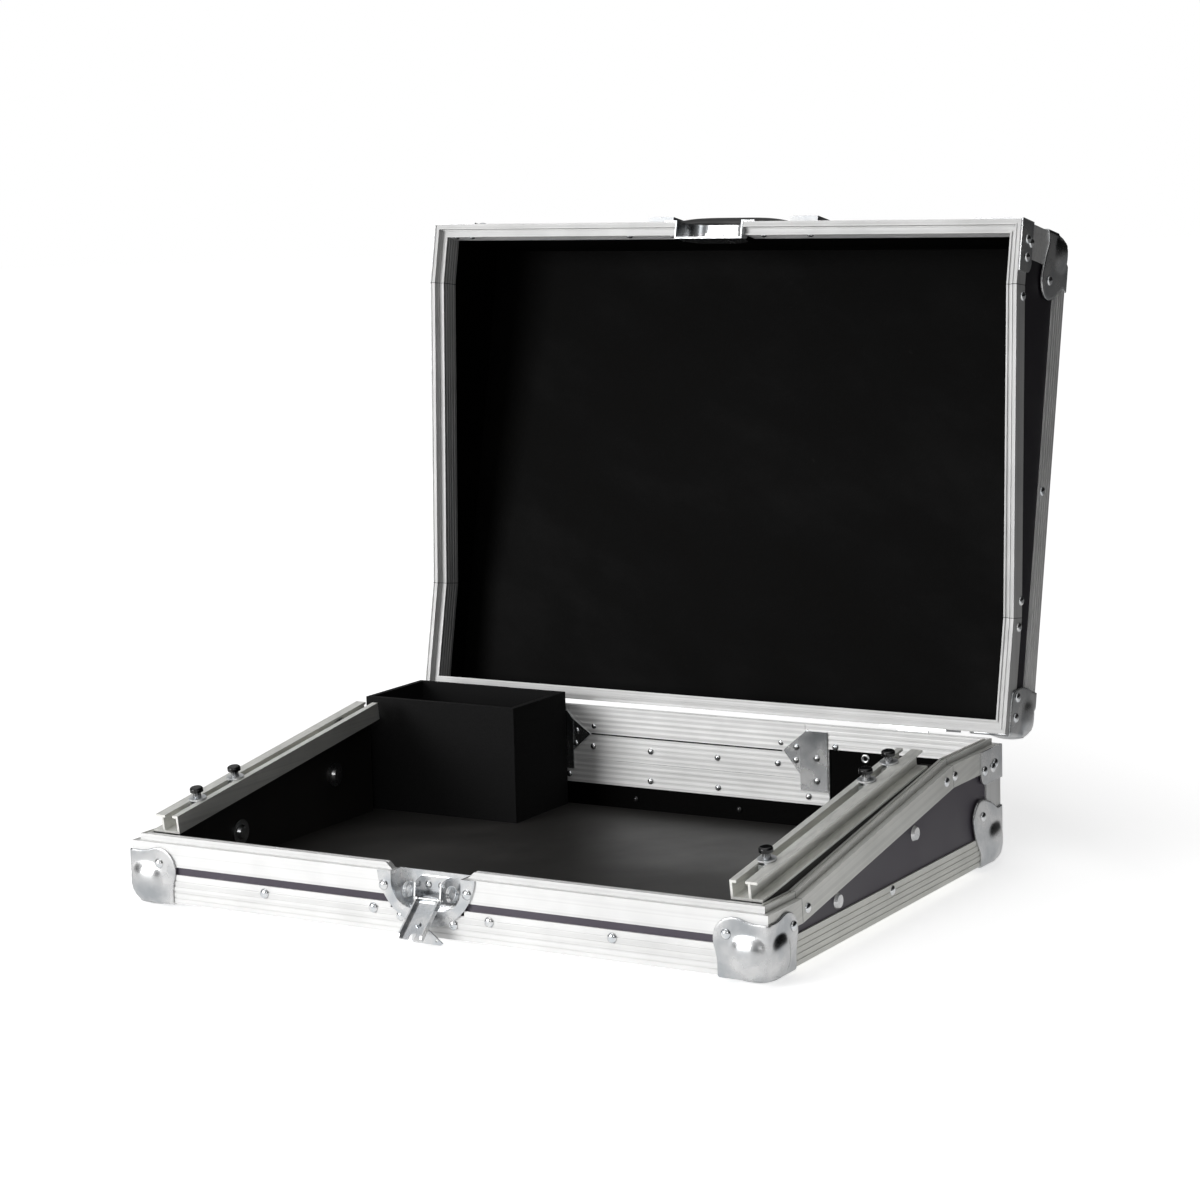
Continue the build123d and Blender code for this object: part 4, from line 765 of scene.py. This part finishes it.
# World: a soft sky that is brighter above and darker to the rear right, white to the camera.
SKY_DARK_SIDE = (0.9, 0.44, 0.0)
world = bpy.data.worlds.new("studio")
bpy.context.scene.world = world
world.use_nodes = True
tree = world.node_tree
tree.nodes.clear()
sky = ramp(tree, upward(tree, "Generated"), 0.07, 0.58, (0.04, 0.75))
shade = ramp(tree, reach_along(tree, SKY_DARK_SIDE, "Generated"), 1.0, 0.05, (0.0, 0.6))
sky = blend_colour(tree, 1.0, sky, shade, "MULTIPLY")
soft_light = add(tree, "ShaderNodeBackground", {"Color": sky, "Strength": 1.0})
white = add(tree, "ShaderNodeBackground", {"Color": (1, 1, 1, 1), "Strength": 1.0})
rays = add(tree, "ShaderNodeLightPath").outputs
seen = maths(tree, "MAXIMUM", rays["Is Camera Ray"], rays["Is Transmission Ray"])
mixed = add(tree, "ShaderNodeMixShader", {0: seen, 1: soft_light.outputs[0],
                                          2: white.outputs[0]})
add(tree, "ShaderNodeOutputWorld", {"Surface": mixed.outputs[0]})

# Floor: pale, darker towards the rear right, where metal mirrors less of its glow. The camera sees
# it glow there and far off, so that it runs into the white without an edge.
FLOOR_RADIUS, FLOOR_SIDES, FLOOR_DROP = 12.0, 96, 0.0005
FLOOR_DARK_SIDE = (0.7, 0.7, 0.0)
FAR_SCALE = 0.25                            # brings metres from the middle to the ramp
floor_mesh = bmesh.new()
bmesh.ops.create_circle(floor_mesh, cap_ends=True, radius=FLOOR_RADIUS, segments=FLOOR_SIDES)
floor_data = bpy.data.meshes.new("floor")
floor_mesh.to_mesh(floor_data)
floor_mesh.free()
floor = bpy.data.objects.new("floor", floor_data)
bpy.context.scene.collection.objects.link(floor)
floor.location = (0, 0, -FLOOR_DROP)
pale, tree, shader = start("floor_pale", (0.86, 0.86, 0.86), 0.0, 0.9, Specular_IOR_Level=0.2)
aside = reach_along(tree, FLOOR_DARK_SIDE)
tree.links.new(ramp(tree, aside, 0.86, 0.10, (0.35, 0.8)), shader.inputs["Base Color"])
rays = add(tree, "ShaderNodeLightPath").outputs
mirrored = maths(tree, "MULTIPLY", rays["Is Glossy Ray"],
                 ramp(tree, aside, 0.7, 0.12, (0.3, 0.9)))
seen = maths(tree, "MAXIMUM", rays["Is Camera Ray"], mirrored)
away = add(tree, "ShaderNodeVectorMath", {0: coordinates(tree)}, operation="LENGTH")
far_off = maths(tree, "MULTIPLY", away.outputs["Value"], FAR_SCALE)
glow = maths(tree, "MAXIMUM", ramp(tree, far_off, 0.62, 1.0, (0.2, 0.55)),
             ramp(tree, aside, 0.62, 1.0, (0.4, 0.75)))
lift = add(tree, "ShaderNodeEmission",
           {"Color": (1, 1, 1, 1), "Strength": maths(tree, "MULTIPLY", seen, glow)})
both = add(tree, "ShaderNodeAddShader", {0: shader.outputs[0], 1: lift.outputs[0]})
tree.links.new(both.outputs[0], tree.nodes["Material Output"].inputs["Surface"])
floor_data.materials.append(pale)

bpy.context.scene.view_settings.view_transform = "Standard"
